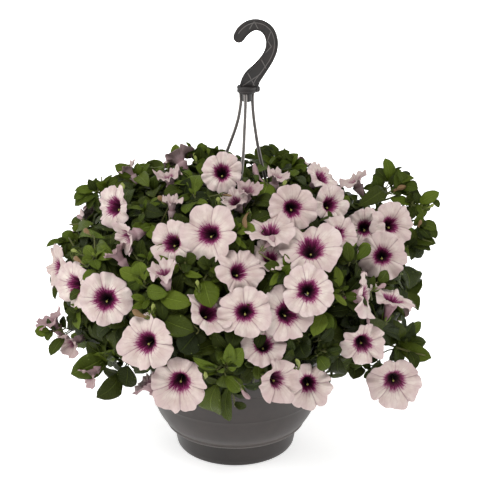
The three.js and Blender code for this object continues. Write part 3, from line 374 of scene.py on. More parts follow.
def reach(points, sink=0.0):
    """Where points are against the outer face, or a face sunk under it: less than 1 is inside."""
    tall = np.where(points[..., 2] > DOME_CENTRE, DOME_UP, DOME_DOWN)
    return (
        (points[..., 0] / (DOME_WIDE - sink)) ** 2
        + (points[..., 1] / (DOME_DEEP - sink)) ** 2
        + ((points[..., 2] - DOME_CENTRE) / (tall - sink)) ** 2
    )


# The distances from the eye that are tried along a line of sight.
SIGHT_STEPS = np.arange(1200, 1760, 1.0)


def sight_line(across, down):
    """The line of sight through a place of the view, for one millimetre ahead."""
    return (
        VIEW_FORWARD
        + VIEW_RIGHT * (across - VIEW_MIDDLE) / VIEW_FOCAL
        + VIEW_UP * (VIEW_MIDDLE - down) / VIEW_FOCAL
    )


def seen_at(across, down, sink=0.0):
    """The outer face's point at a place of the view, or the nearest to it on that sight line."""
    points = VIEW_EYE + sight_line(across, down) * SIGHT_STEPS[:, None]
    out = reach(points, sink)
    inside = np.nonzero(out <= 1)[0]
    return points[inside[0] if len(inside) else np.argmin(out)]


def facing(look):
    """The direction for shares to the right, up and towards the eye."""
    right, up, to_eye = look
    return unit(VIEW_RIGHT * right + VIEW_UP * up - VIEW_FORWARD * to_eye)


def outward(point):
    """The direction square to the outer face near a point."""
    tall = DOME_UP if point[2] > DOME_CENTRE else DOME_DOWN
    return unit((point - vec(0, 0, DOME_CENTRE)) / vec(DOME_WIDE, DOME_DEEP, tall) ** 2)


def dome_spread(height, turn):
    """The outer face's point from the dome's centre, at a height from -1 to 1 and a turn."""
    ring = math.sqrt(1 - height * height)
    tall = DOME_UP if height > 0 else DOME_DOWN
    return vec(DOME_WIDE * ring * math.cos(turn), DOME_DEEP * ring * math.sin(turn), tall * height)


def spiral_point(i, count):
    height = SPIRAL_TOP - SPIRAL_FALL * (i + 0.5) / count
    return dome_spread(height, i * SPIRAL_TURN) + vec(0, 0, DOME_CENTRE)


def hidden_points(count, placed, spacing):
    """The spiral's points on the far side that keep their distance from what is placed."""
    found = []
    for i in range(count):
        point = spiral_point(i, count)
        if outward(point) @ VIEW_FORWARD <= HIDDEN_FROM:
            continue
        if all(np.linalg.norm(point - other) > spacing for other in placed):
            found.append(point)
    return found


def cross_axes(axis):
    """Two directions square to an axis and to each other, the first of them level."""
    first = np.cross(vec(0, 0, 1), axis)
    if np.linalg.norm(first) < 0.2:
        first = vec(1, 0, 0)
    first = unit(first)
    return first, np.cross(axis, first)


def square_to(axis, angle):
    """The direction square to an axis that is an angle round it."""
    first, second = cross_axes(axis)
    return first * math.cos(angle) + second * math.sin(angle)


@dataclass
class Bloom:
    """Where one trumpet is, which way it looks and how it is."""

    name: str
    throat: np.ndarray
    axis: np.ndarray
    width: float
    open_share: float
    mauve: float = 0.0
    crumple: float = 0.0
    spin: float = 0.0

    @property
    def radius(self):
        return self.width / 2 * (0.45 + 0.55 * self.open_share)

    @property
    def rise(self):
        return self.width / 2 * (0.95 - 0.8 * self.open_share)

    @property
    def tube_length(self):
        return 10 + self.width * 0.32

    def base(self, beyond=0.0):
        return self.throat - self.axis * (self.tube_length + beyond)


def bloom_spots(draws):
    spots = [
        Bloom(name, seen_at(across, down, sink), facing(look), width, open_share, mauve, crumple)
        for name, across, down, width, look, sink, open_share, mauve, crumple in FRONT_BLOOMS
    ]
    placed = [spot.throat for spot in spots]
    for i, centre in enumerate(hidden_points(HIDDEN_CLUSTERS, placed, HIDDEN_CLUSTER_SPACING)):
        out = outward(centre)
        turn = draws.between(0, 2 * math.pi)
        for k in range(2):
            aside = square_to(out, turn + math.pi * k)
            name = f"b{i + 1:02d}{'ab'[k]}"
            throat = centre + aside * HIDDEN_PAIR_OFFSET
            width = draws.between(*HIDDEN_BLOOM_WIDTHS)
            spots.append(Bloom(name, throat, unit(out + aside * 0.25), width, 1))
    for spot in spots:
        spot.spin = draws.between(0, 2 * math.pi)
    return spots


def shoot_spots(draws):
    """Root and tip of each front shoot, and root, tip and leaf length of each hidden one."""
    front = [
        (seen_at(root_across, root_down, ROOT_SINK), seen_at(tip_across, tip_down, TIP_SINK))
        for root_across, root_down, tip_across, tip_down in FRONT_SHOOTS
    ]
    placed = [seen_at(tip_across, tip_down, 3) for _, _, tip_across, tip_down in FRONT_SHOOTS]
    hidden = []
    for tip in hidden_points(HIDDEN_SHOOTS, placed, HIDDEN_SHOOT_SPACING):
        out = outward(tip)
        lean = vec(draws.between(-20, 20), draws.between(-20, 20), draws.between(-6, 20))
        lean = lean - out * (out @ lean)
        hidden.append((tip - out * ROOT_SINK, tip + lean, draws.between(*HIDDEN_LEAF_LENGTHS)))
    return front, hidden


def wedge_of(point):
    """The number of the wedge of the plant that a point is in."""
    degrees = math.degrees(math.atan2(point[1], point[0])) - WEDGE_START + 720
    return int(degrees * WEDGES / 360 + 0.5) % WEDGES


def wedge_turn(wedge):
    return WEDGE_START + wedge * 360 / WEDGES


def bent(start, middle, end, steps):
    """Points along a bend from start to end that is drawn towards the middle."""
    t = np.linspace(0, 1, steps + 1)[:, None]
    return start * (1 - t) ** 2 + middle * 2 * t * (1 - t) + end * t ** 2


def main_stems(wedge):
    """The upright of a wedge's stem and its low and high arm."""
    turn = wedge_turn(wedge)
    plant = polar(PLANT_RADIUS, wedge_turn(wedge // 3 * 3 + 1), 0)
    root = plant + polar(STEM_RADIUS, turn, 0)
    fork = root + vec(0, 0, STEM_FORK)
    arms = []
    for arm in (LOW_ARM, HIGH_ARM):
        middle, end = [polar(radius, turn, height) for radius, height in arm]
        arms.append(bent(fork, middle, end, 8))
    return np.array([root + vec(0, 0, STEM_FOOT), fork]), arms


# ---- Meshes ----

class Skin:
    """Points, faces and two triples of values a point, gathered for one piece."""

    def __init__(self, petal_kind=0):
        self.petal_kind = petal_kind
        self.points = []
        self.places = []
        self.tones = []
        self.faces = []
        self.kinds = []
        self.count = 0

    def add(self, points, tone, faces, kind=0, places=(0, 0, 0)):
        size = len(points)
        self.points.append(points)
        for gathered, values in ((self.places, places), (self.tones, tone)):
            gathered.append(np.broadcast_to(np.asarray(values, float), (size, 3)))
        for block in faces:
            self.faces += (np.asarray(block) + self.count).tolist()
            self.kinds += [kind] * len(block)
        self.count += size

    def piece(self, name, materials):
        mesh = bpy.data.meshes.new(name)
        mesh.from_pydata((np.concatenate(self.points) * MM).tolist(), [], self.faces)
        for label, values in (("place", self.places), ("tone", self.tones)):
            attribute = mesh.attributes.new(label, "FLOAT_VECTOR", "POINT")
            attribute.data.foreach_set("vector", np.concatenate(values).astype(np.float32).ravel())
        for material in materials:
            mesh.materials.append(material)
        mesh.polygons.foreach_set("material_index", self.kinds)
        mesh.polygons.foreach_set("use_smooth", [True] * len(self.faces))
        piece = bpy.data.objects.new(name, mesh)
        bpy.context.collection.objects.link(piece)
        return piece


def wall(rings, around, flipped=False):
    """Faces between rings of points, and over both ends."""
    k = np.arange(around)
    after = (k + 1) % around
    blocks = []
    for i in range(rings - 1):
        here = i * around
        there = here + around
        blocks.append(np.stack([here + k, there + k, there + after, here + after], 1))
    blocks.append(k[None, :])
    blocks.append((rings - 1) * around + k[::-1][None, :])
    return [block[:, ::-1] for block in blocks] if flipped else blocks


def rings_along(points, radii, sides, flat=1.0):
    """Rings of corners along the points that turn as little as they can."""
    points = np.asarray(points, float)
    tangent = unit(points[1] - points[0])
    side = np.cross(vec(1, 0, 0), tangent)
    if np.linalg.norm(side) < 0.3:
        side = np.cross(vec(0, 1, 0), tangent)
    angle = np.arange(sides) * 2 * math.pi / sides
    rings = []
    for i, point in enumerate(points):
        tangent = unit(points[min(i + 1, len(points) - 1)] - points[max(i - 1, 0)])
        side = unit(side - tangent * (side @ tangent))
        other = np.cross(tangent, side) * flat
        radius = radii[i]
        rings.append(point + radius * (np.outer(np.cos(angle), side) + np.outer(np.sin(angle), other)))
    return np.concatenate(rings)


def add_tube(skin, points, radii, sides, tone, kind=0, flat=1.0):
    """A closed tube through the points."""
    corners = rings_along(points, radii, sides, flat)
    steps = np.repeat(np.linspace(0, 1, len(points)), sides)
    around = np.tile(np.arange(sides) / sides, len(points))
    places = np.stack([around, steps, np.zeros_like(steps)], 1)
    skin.add(corners, tone, wall(len(points), sides, flipped=True), kind, places)


def curve(controls, steps):
    """Even steps along a smooth curve through the control points."""
    controls = np.asarray(controls, float)
    ends = np.concatenate([[2 * controls[0] - controls[1]], controls, [2 * controls[-1] - controls[-2]]])
    found = []
    for t in np.linspace(0, len(controls) - 1, steps):
        i = min(int(t), len(controls) - 2)
        s = t - i
        a, b, c, d = ends[i:i + 4]
        found.append(0.5 * (2 * b + (c - a) * s + (2 * a - 5 * b + 4 * c - d) * s ** 2
                            + (3 * b - a - 3 * c + d) * s ** 3))
    return np.array(found)


# ---- Blooms ----

PETAL_SIDE = 0.0
UNDER_SIDE = 1.0
STIGMA_SIDE = 2.0
TUBE_RINGS = [(0.8, -21), (2.6, -18), (4.2, -14.5), (5.6, -11), (6.6, -8)]
NECK_RINGS = [(8.6, 6), (6.4, 12), (4.8, 18)]
LIMB_SHARES = [0.26, 0.3, 0.35, 0.41, 0.48, 0.55, 0.62, 0.69, 0.76, 0.82, 0.87, 0.915, 0.95, 0.98, 1.0]
LIMB_THICKNESS = 0.3
LIMB_STIFFNESS = 0.8
# How deep the notch in a lobe is, and the one between two lobes: least and most.
NOTCH_DEPTHS = [(0.07, 0.19), (0.0, 0.09)]
# Waves of the limb's edge, of the limb, and of a crumpled limb: (waves round it, strength).
EDGE_WAVES = [(2, 0.03), (3, 0.03), (7, 0.014), (11, 0.012), (19, 0.01)]
LIMB_WAVES = [(2, 0.07), (3, 0.06), (5, 0.04), (7, 0.045), (11, 0.04), (16, 0.03), (25, 0.014)]
CRUMPLE_WAVES = [(4, 0.12), (9, 0.1), (14, 0.07)]
# How much longer the lobes that hang down are on the lowest blooms.
HEAVY_LOBES = 0.14
HEAVY_OVER = 80
# A bud's outline: (share of its length, share of its width).
BUD_SHAPE = [
    (0.0, 0.2), (0.15, 0.35), (0.35, 0.5), (0.55, 0.75), (0.72, 1.0), (0.84, 0.9), (0.94, 0.55), (1.0, 0.12),
]


def around_bloom():
    """Turns round the trumpet, and how far each is from the folds between and along its lobes."""
    turn = np.arange(LOBES * LOBE_STEPS) * 2 * math.pi / (LOBES * LOBE_STEPS)
    phase = (turn * LOBES / (2 * math.pi)) % 1
    return turn, np.minimum(phase, 1 - phase), np.abs(phase - 0.5)


def limb_outline(rng, crumple):
    """The limb's edge as a share of its radius: two scallops a lobe, no two alike."""
    turn = around_bloom()[0]
    scallop = 1 - np.abs(np.sin(turn * LOBES))
    notches = np.array([rng.uniform(least, most) for least, most in NOTCH_DEPTHS * LOBES])
    nearest = np.rint(turn * LOBES / math.pi).astype(int) % len(notches)
    outline = 1 - notches[nearest] * scallop ** 2.2
    for waves, strength in EDGE_WAVES:
        outline += strength * np.sin(waves * turn + rng.uniform(0, 6.3))
    return outline + 0.08 * crumple * np.sin(6 * turn + rng.uniform(0, 6.3))


def limb_waves(rng, crumple):
    """Waves of the limb along the trumpet's axis: (waves round it, strength, shift)."""
    waves = LIMB_WAVES + [(count, strength * crumple) for count, strength in CRUMPLE_WAVES]
    return [(count, strength, rng.uniform(0, 6.3)) for count, strength in waves]


def lobe_leans(rng, crumple):
    """How far each lobe leans ahead at its edge, and how it twists, as a share of the radius."""
    phase = around_bloom()[0] * LOBES / (2 * math.pi)
    lobe = phase.astype(int) % LOBES
    lean = np.array([rng.uniform(-0.24 - 0.3 * crumple, 0.14 + 0.5 * crumple) for _ in range(LOBES)])
    twist = np.array([rng.uniform(-0.07, 0.07) for _ in range(LOBES)])
    return lean[lobe] * np.sin(math.pi * phase) ** 2 + twist[lobe] * np.sin(2 * math.pi * phase)


def limb_height(bloom, share):
    """How far ahead of the throat the limb is, where share is 0 at the axis and 1 at the edge."""
    middle = bloom.rise * 0.45 + 3
    edge = bloom.rise + 1.5
    if share < 0.58:
        return middle - (middle + 5) * (1 - (share - 0.24) / 0.34) ** 2
    return middle + (edge - middle) * (share - 0.58) / 0.42


class Limb:
    """The trumpet's open part: its outline, folds, waves and leaning lobes."""

    def __init__(self, bloom, down, rng):
        self.bloom = bloom
        self.turn, from_fold, from_rib = around_bloom()
        self.outline = limb_outline(rng, bloom.crumple)
        self.waves = limb_waves(rng, bloom.crumple)
        self.leans = lobe_leans(rng, bloom.crumple)
        fold = np.exp(-(from_fold / 0.05) ** 2)
        beside = np.exp(-((from_fold - 0.13) / 0.09) ** 2)
        rib = np.exp(-(from_rib / 0.05) ** 2)
        self.creases = 1.5 * beside - 1.7 * fold - 1.0 * rib
        self.heavy = HEAVY_LOBES * min(max((DOME_CENTRE - bloom.throat[2]) / HEAVY_OVER, 0), 1) * down

    def ring(self, share, drop, side):
        """A ring of the limb: distances from the axis and along it, its share of the radius and its side."""
        radius = self.bloom.radius
        out = radius * share * (1 + (self.outline - 1) * share ** 3 - self.heavy * share ** 2)
        along = limb_height(self.bloom, share)
        outer = max(share - 0.35, 0) / 0.65
        for count, strength, shift in self.waves:
            along = along + radius * strength * outer ** 1.4 * np.sin(count * self.turn + shift)
        along = along + outer ** 0.5 * self.creases
        along = along + radius * (self.leans * outer ** 1.7 - 0.05 * outer ** 6)
        return out, along - drop, share, side


def add_corolla(skin, bloom):
    """A trumpet: its throat, its waved limb over and under, and its outer tube, then its stigma."""
    rng = random.Random(bloom.name)
    turn = around_bloom()[0]
    first, second = cross_axes(bloom.axis)
    across = np.outer(np.cos(turn + bloom.spin), first) + np.outer(np.sin(turn + bloom.spin), second)
    limb = Limb(bloom, across[:, 2], rng)
    scale = min(1.0, bloom.radius / 27)
    flat = np.ones(len(turn))
    rings = [
        (flat * out * scale, flat * along, out * scale / bloom.radius, PETAL_SIDE)
        for out, along in TUBE_RINGS
    ]
    rings += [limb.ring(share, 0.0, PETAL_SIDE) for share in LIMB_SHARES]
    for share in reversed(LIMB_SHARES):
        rings.append(limb.ring(share, LIMB_THICKNESS + LIMB_STIFFNESS * (1 - share), UNDER_SIDE))
    for radius, drop in NECK_RINGS + [(2.6, bloom.tube_length)]:
        ridged = radius * min(1.0, scale * (0.9 + 0.1 * radius / 2.6)) * (1 + 0.06 * np.cos(LOBES * turn))
        rings.append((ridged, -drop * flat, radius / bloom.radius, UNDER_SIDE))
    points, places = [], []
    for out, along, share, side in rings:
        points.append(bloom.throat + out[:, None] * across + np.outer(along, bloom.axis))
        places.append(np.stack([share * np.cos(turn), share * np.sin(turn), side * flat], 1))
    tone = (bloom.mauve, rng.random(), rng.random())
    faces = wall(len(rings), len(turn))
    skin.add(np.concatenate(points), tone, faces, skin.petal_kind, np.concatenate(places))
    add_stigma(skin, bloom, tone)


def add_stigma(skin, bloom, tone):
    """The knobbed stigma that shows low in the throat."""
    low = unit(vec(0, 0, -1) + bloom.axis * bloom.axis[2])
    foot = bloom.throat - bloom.axis * 17
    top = bloom.throat - bloom.axis * 6 + low * 3.2
    points = [foot, foot + (top - foot) * 0.8, foot + (top - foot) * 0.86, top, top + bloom.axis * 0.8]
    corners = rings_along(points, [0.5, 0.5, 1.2, 1.4, 0.6], 8)
    skin.add(corners, tone, wall(len(points), 8, flipped=True), skin.petal_kind, (0, 0, STIGMA_SIDE))


def add_bud(skin, base, tip, width, mauve, rng):
    """A closed bud or a wilted bloom: a ridged, twisted spindle that is widest near its tip."""
    length = np.linalg.norm(tip - base)
    steps = 20
    turn = np.arange(steps) * 2 * math.pi / steps
    axis = unit(tip - base)
    first, second = cross_axes(axis)
    bow = first * rng.uniform(-0.1, 0.1) * length + second * rng.uniform(-0.1, 0.1) * length
    points, places = [], []
    for along, wide in BUD_SHAPE:
        twist = turn + 1.2 * along
        out = width / 2 * wide * (1 + 0.16 * np.cos(LOBES * turn + 2 * along) + 0.05 * np.sin(3 * turn))
        middle = base + axis * along * length + bow * math.sin(math.pi * along)
        points.append(middle + np.outer(out * np.cos(twist), first) + np.outer(out * np.sin(twist), second))
        places.append(np.stack([np.cos(turn) * wide, np.sin(turn) * wide, np.ones(steps)], 1))
    tone = (mauve, rng.random(), rng.random())
    faces = wall(len(BUD_SHAPE), steps)
    skin.add(np.concatenate(points), tone, faces, skin.petal_kind, np.concatenate(places))


# ---- Leaves and stems ----

LEAF_KIND = 0
STEM_KIND = 1
PETAL_KIND = 2
# Radii along each kind of stem.
SHOOT_RADII = [1.7, 1.0]
LEAF_STALK_RADII = [1.0, 0.8]
BLOOM_STALK_RADII = [1.2, 1.1, 1.1, 1.2, 3.1]
UPRIGHT_RADII = [3.4, 3.4, 3.4, 3.3, 3.3, 3.3]
ARM_RADII = (3, 2.2)
HAIRS_A_POINT = 3
HAIR_HALF_WIDTH = 0.07
HAIR_TONE = (0.9, 0.2, 0.5)
# The leaves round a far shoot's top: (leaves, share of its leaf length, how far ahead, least and most lean).
WHORLS = [(4, 1, 0, 0.35, 0.8), (4, 0.85, -11, 0.1, 0.5), (3, 0.4, 2, 1.2, 2.0)]
# The small leaves up a front shoot: pairs, where the first is and how far apart they are, as shares of it.
TOP_PAIRS = 5
TOP_START = 0.2
TOP_SPACING = 0.18
# Their length, which gets less from pair to pair, their width as a share of it, and how light they are, as
# painted light and shade.
TOP_LENGTHS = (22, 29)
TOP_SHORTENING = 0.09
TOP_WIDTHS = (0.6, 0.74)
TOP_LIGHTS = (0.16, 0.54)
# The places along a small leaf that mustn't be seen before a broad one.
TOP_CHECKS = np.array([[0.5], [0.8], [1.0]])


def leaf_width(t):
    """A broad oval with a blunt tip, widest past two fifths of its length."""
    return np.clip(t / 0.45, 0, 1) ** 0.5 * (1 - np.clip((t - 0.45) / 0.55, 0, 1) ** 2) ** 0.6


def leaf_faces(along, columns):
    """Faces over and under a leaf's grid of points, and round its edge."""
    size = (along + 1) * columns
    i, k = np.meshgrid(np.arange(along), np.arange(columns - 1), indexing="ij")
    a = (i * columns + k).ravel()
    upper = np.stack([a, a + 1, a + columns + 1, a + columns], 1)
    lower = upper[:, ::-1] + size
    rim = np.concatenate([
        np.arange(columns),
        np.arange(1, along + 1) * columns + columns - 1,
        along * columns + np.arange(columns - 2, -1, -1),
        np.arange(along - 1, 0, -1) * columns,
    ])
    after = np.roll(rim, -1)
    return [upper, lower, np.stack([rim, rim + size, after + size, after], 1)]


def add_leaf(skin, base, tip, normal, width, rng, light, arch=0.12, fold=0.25, along=9, across=3):
    """One leaf: an arched blade folded up from its midrib, thin at the edge."""
    length = np.linalg.norm(tip - base)
    forward = unit(tip - base)
    normal = unit(normal - forward * (normal @ forward))
    side = np.cross(forward, normal)
    columns = 2 * across + 1
    t, x = np.meshgrid(np.linspace(0, 1, along + 1), np.linspace(-1, 1, columns), indexing="ij")
    shape = leaf_width(t)
    shape[0] = 0.09
    shape[-1] = 0.015
    half = width / 2 * shape
    wavy = rng.uniform(0, 6)
    up = fold * np.abs(x) * half
    up = up + arch * length * 4 * t * (1 - t) - arch * length * 0.8 * t ** 2
    up = up + 0.07 * half * np.sin(t * 14 + wavy + np.sign(x) * 1.2) * np.abs(x)
    bow = rng.uniform(-0.07, 0.07) * length * np.sin(t * math.pi)
    top = (
        base
        + forward * (t * length)[..., None]
        + side * (x * half + bow)[..., None]
        + normal * up[..., None]
    )
    thickness = 0.28 * (1 - 0.6 * np.abs(x)) + 0.35 * np.exp(-(x / 0.12) ** 2)
    under = top - normal * thickness[..., None]
    points = np.concatenate([top.reshape(-1, 3), under.reshape(-1, 3)])
    place = np.stack([x.ravel(), t.ravel(), np.zeros(x.size)], 1)
    tone = (light, rng.random(), rng.random())
    places = np.concatenate([place, place + [0, 0, 1]])
    skin.add(points, tone, leaf_faces(along, columns), LEAF_KIND, places)


def add_stem(skin, controls, radii, rng, steps=7):
    """A thin stem through the control points, with the fine hairs that stand on it."""
    points = curve(controls, steps)
    widths = np.interp(np.linspace(0, 1, steps), np.linspace(0, 1, len(radii)), radii)
    add_tube(skin, points, widths, 7, (0.5, rng.random(), rng.random()), STEM_KIND)
    add_hairs(skin, points, widths, rng)


def add_hairs(skin, points, widths, rng):
    """Short tapered hairs square to a stem, in no order."""
    count = HAIRS_A_POINT * len(points)
    corners = []
    for _ in range(count):
        at = rng.uniform(0.1, 0.98) * (len(points) - 1)
        i = int(at)
        middle = points[i] + (points[i + 1] - points[i]) * (at - i)
        along = unit(points[i + 1] - points[i])
        aside = square_to(along, rng.uniform(0, 2 * math.pi))
        across = np.cross(along, aside) * HAIR_HALF_WIDTH
        ahead = along * HAIR_HALF_WIDTH
        foot = middle + aside * widths[i] * 0.9
        corners += [foot + across, foot - across + ahead, foot - across - ahead]
        corners.append(foot + aside * rng.uniform(0.9, 1.5) + along * rng.uniform(0, 0.5))
    starts = np.arange(count)[:, None] * 4
    faces = [starts + [0, 1, 2], starts + [0, 3, 1], starts + [1, 3, 2], starts + [2, 3, 0]]
    skin.add(np.array(corners), HAIR_TONE, faces, STEM_KIND)


def is_clear(route, clearance):
    """Whether a stem along the route stays inside the plant and out of every bloom."""
    points = curve(route, 16)
    return reach(points[:11]).max() < 0.92 and not clearance.crosses_bloom(points)


def add_stalk(skin, buds, bloom, rng, clearance):
    """A bloom's stalk from its stem to the calyx, and the five narrow sepals of the calyx."""
    end = bloom.base(GAP)
    calyx = bloom.base(8)
    routes = []
    for i, start in enumerate(nearest_buds(buds, bloom.base())[:40:2]):
        wander = 6 + i * 0.7
        aside = vec(rng.uniform(-wander, wander), rng.uniform(-wander, wander), rng.uniform(-wander, 2))
        routes.append([start, (start + calyx) / 2 + aside, calyx, end])
    clear = [route for route in routes if is_clear(route, clearance)]
    add_stem(skin, (clear or routes)[0], BLOOM_STALK_RADII, rng, 9)
    add_sepals(skin, end, bloom.axis, 10, bloom.spin, rng)


def add_sepals(skin, end, axis, length, spin, rng):
    """The narrow green sepals that stand round the end of a stalk."""
    for k in range(LOBES):
        aside = square_to(axis, spin + 2 * math.pi * (k + 0.5) / LOBES)
        root = end - axis * length * 0.25 + aside * length * 0.2
        tip = end + axis * length * rng.uniform(0.8, 1.2) + aside * length * rng.uniform(0.5, 0.8)
        add_leaf(skin, root, tip, -aside, length * 0.32, rng, 0.5, arch=-0.1, fold=0.2, along=5, across=1)


def add_shoot(skin, start, spot, rng, clearance):
    """A leafy shoot of the far side: its stem, and leaves in turn round its top."""
    root, tip, size = spot
    add_stem(skin, [start, root, tip], SHOOT_RADII, rng, 8)
    axis = unit(unit(tip - root) + outward(tip) * 0.9)
    spin = rng.uniform(0, 2 * math.pi)
    light = rng.uniform(0.4, 0.7)
    for count, share, shift, low, high in WHORLS:
        length = size * share
        spin += 0.8
        for k in range(count):
            forward = unit(square_to(axis, spin + 2 * math.pi * k / count) + axis * rng.uniform(low, high))
            base = tip + axis * (shift - rng.uniform(0, 3)) + forward * 1.5
            end = base + forward * length * rng.uniform(0.7, 0.95)
            normal = axis - forward * (axis @ forward)
            if clearance.allows(base, end):
                shade = light + rng.uniform(-0.12, 0.12)
                add_leaf(skin, base, end, normal, length * rng.uniform(0.52, 0.66), rng, shade)


def in_view(points):
    """Where points are seen, across and down."""
    rays = points - VIEW_EYE
    scale = VIEW_FOCAL / (rays @ VIEW_FORWARD)
    return np.stack([VIEW_MIDDLE + (rays @ VIEW_RIGHT) * scale, VIEW_MIDDLE - (rays @ VIEW_UP) * scale], 1)


def hides_broad_leaf(points):
    """Whether any of the points is seen inside one of the broad leaves that are set out as they are seen."""
    base = BROAD_LEAVES[:, :2]
    along = BROAD_LEAVES[:, 2:4] - base
    apart = in_view(points)[:, None] - base
    share = np.clip((apart * along).sum(2) / (along ** 2).sum(1), 0, 1)
    aside = np.linalg.norm(apart - along * share[..., None], axis=2)
    return bool((aside < BROAD_LEAVES[:, 4] * 0.45).any())


def add_leafy_top(skin, root, tip, rng, clearance):
    """Small leaves in pairs up a front shoot, so that none of it is bare. Says whether it has any."""
    axis = unit(tip - root)
    limit = max(1.0, reach(tip)) + 0.01
    spin = rng.uniform(0, math.pi)
    leafy = False
    for step in range(TOP_PAIRS):
        foot = root + (tip - root) * (TOP_START + TOP_SPACING * step)
        spin += 1.6
        for angle in (spin, spin + math.pi):
            length = rng.uniform(*TOP_LENGTHS) * (1 - TOP_SHORTENING * step)
            forward = square_to(axis, angle) + axis * rng.uniform(0.3, 1.0)
            end = foot + unit(forward - VIEW_FORWARD * (forward @ VIEW_FORWARD) * 0.4) * length
            hides = hides_broad_leaf(foot + (end - foot) * TOP_CHECKS)
            if reach(end) < limit and not hides and clearance.allows(foot, end):
                # Painted shade: leaves low on the plant are darker.
                low_shade = min(max((foot[2] - LOWEST_LEAF) / 180, 0.3), 1)
                light = rng.uniform(*TOP_LIGHTS) * low_shade
                width = length * rng.uniform(*TOP_WIDTHS)
                add_leaf(skin, foot, end, axis * 0.25 - VIEW_FORWARD, width, rng, light)
                leafy = True
    return leafy


def stalk_route(stems, inner, base, clearance):
    """A leaf's stalk from the nearest stem that it reaches without crossing or hiding a bloom."""
    order = np.argsort(np.linalg.norm(stems - inner, axis=1))
    for i in order[:60:4]:
        route = [stems[i], (stems[i] + inner) / 2 - outward(base) * 3, inner, base]
        points = curve(route, 10)
        if not clearance.crosses_bloom(points[:-2]) and not clearance.hides_bloom(points[:6]):
            return route
    return [inner - outward(base) * 8, inner, base]


def add_front_leaf(skin, stems, row, rng, clearance):
    """A leaf set out as it is seen, its stalk to the nearest stem, and a leaf behind each side of it."""
    base_across, base_down, tip_across, tip_down, seen, light = row
    long = math.hypot(tip_across - base_across, tip_down - base_down)
    base = seen_at(base_across, base_down, 3 + min(long, 16) * 0.7)
    tip = seen_at(tip_across, tip_down, 1)
    middle = (base + tip) / 2
    lean = vec(rng.gauss(0, 0.25), rng.gauss(0, 0.25), rng.gauss(0.1, 0.25))
    normal = unit(outward(middle) * 0.5 - VIEW_FORWARD * 0.7 + lean)
    side_on = abs(unit(np.cross(unit(tip - base), normal)) @ VIEW_FORWARD)
    millimetres = ((middle - VIEW_EYE) @ VIEW_FORWARD) / VIEW_FOCAL
    width = seen * millimetres * 1.08 / math.sqrt(1.0 - min(side_on, 0.8) ** 2)
    arch, fold = rng.uniform(0.04, 0.16), rng.uniform(0.1, 0.35)
    add_leaf(skin, base, tip, normal, width, rng, light, arch, fold)
    inner = base - unit(tip - base) * 4 - outward(base) * 4
    add_stem(skin, stalk_route(stems, inner, base, clearance), LEAF_STALK_RADII, rng)
    limit = max(1.01, reach(tip))
    for side in (-1, 1):
        angle = side * rng.uniform(0.6, 1.3)
        foot = base - outward(base) * 3
        aside = spun(tip - base, VIEW_FORWARD, angle) * rng.uniform(0.55, 0.9)
        end = foot + aside - outward(tip) * rng.uniform(2, 7)
        if long > 5 and reach(end) < limit and clearance.allows(foot, end):
            # The leaves behind are painted darker, as shade.
            share, shade = rng.uniform(0.65, 0.95), rng.uniform(0.35, 0.75)
            add_leaf(skin, foot, end, normal, width * share, rng, light * shade)


def spun(vector, axis, angle):
    """The vector turned by an angle about a unit axis."""
    aside = np.cross(axis, vector)
    return vector * math.cos(angle) + aside * math.sin(angle) + axis * (axis @ vector) * (1 - math.cos(angle))


# ---- Keeping leaves clear ----

# A bloom's free room: round its tube, then in a funnel that widens ahead of its throat.
TUBE_CLEAR_DEPTH = 24
TUBE_CLEAR_RADIUS = 10
FUNNEL_START = -3.5
FUNNEL_END = 45
FUNNEL_SHARE = 0.35
FUNNEL_WIDENING = 0.12
# The share of a bloom's radius that leaves keep free ahead of it, and in the view of it.
FREE_AHEAD = 1.02
FREE_IN_VIEW = 0.94
# The pot's room, up to its rim, and the height that no leaf hangs below.
POT_CLEAR_RADIUS = 127
POT_CLEAR_TOP = 158
LOWEST_LEAF = 60
# The places along a leaf that are checked.
LEAF_CHECKS = np.linspace(0, 1, 9)[:, None]
# How far a leaf's sides are from its middle, as a share of its length.
LEAF_SIDE = 0.26
# The share of a bloom's radius that a leaf's sides leave free.
SIDE_FREE = 0.74


def in_pot(points):
    """Whether any of the points is in the pot, or lower than leaves hang."""
    across = np.hypot(points[:, 0], points[:, 1])
    height = points[:, 2]
    return bool(((height < POT_CLEAR_TOP) & (across < POT_CLEAR_RADIUS) | (height < LOWEST_LEAF)).any())


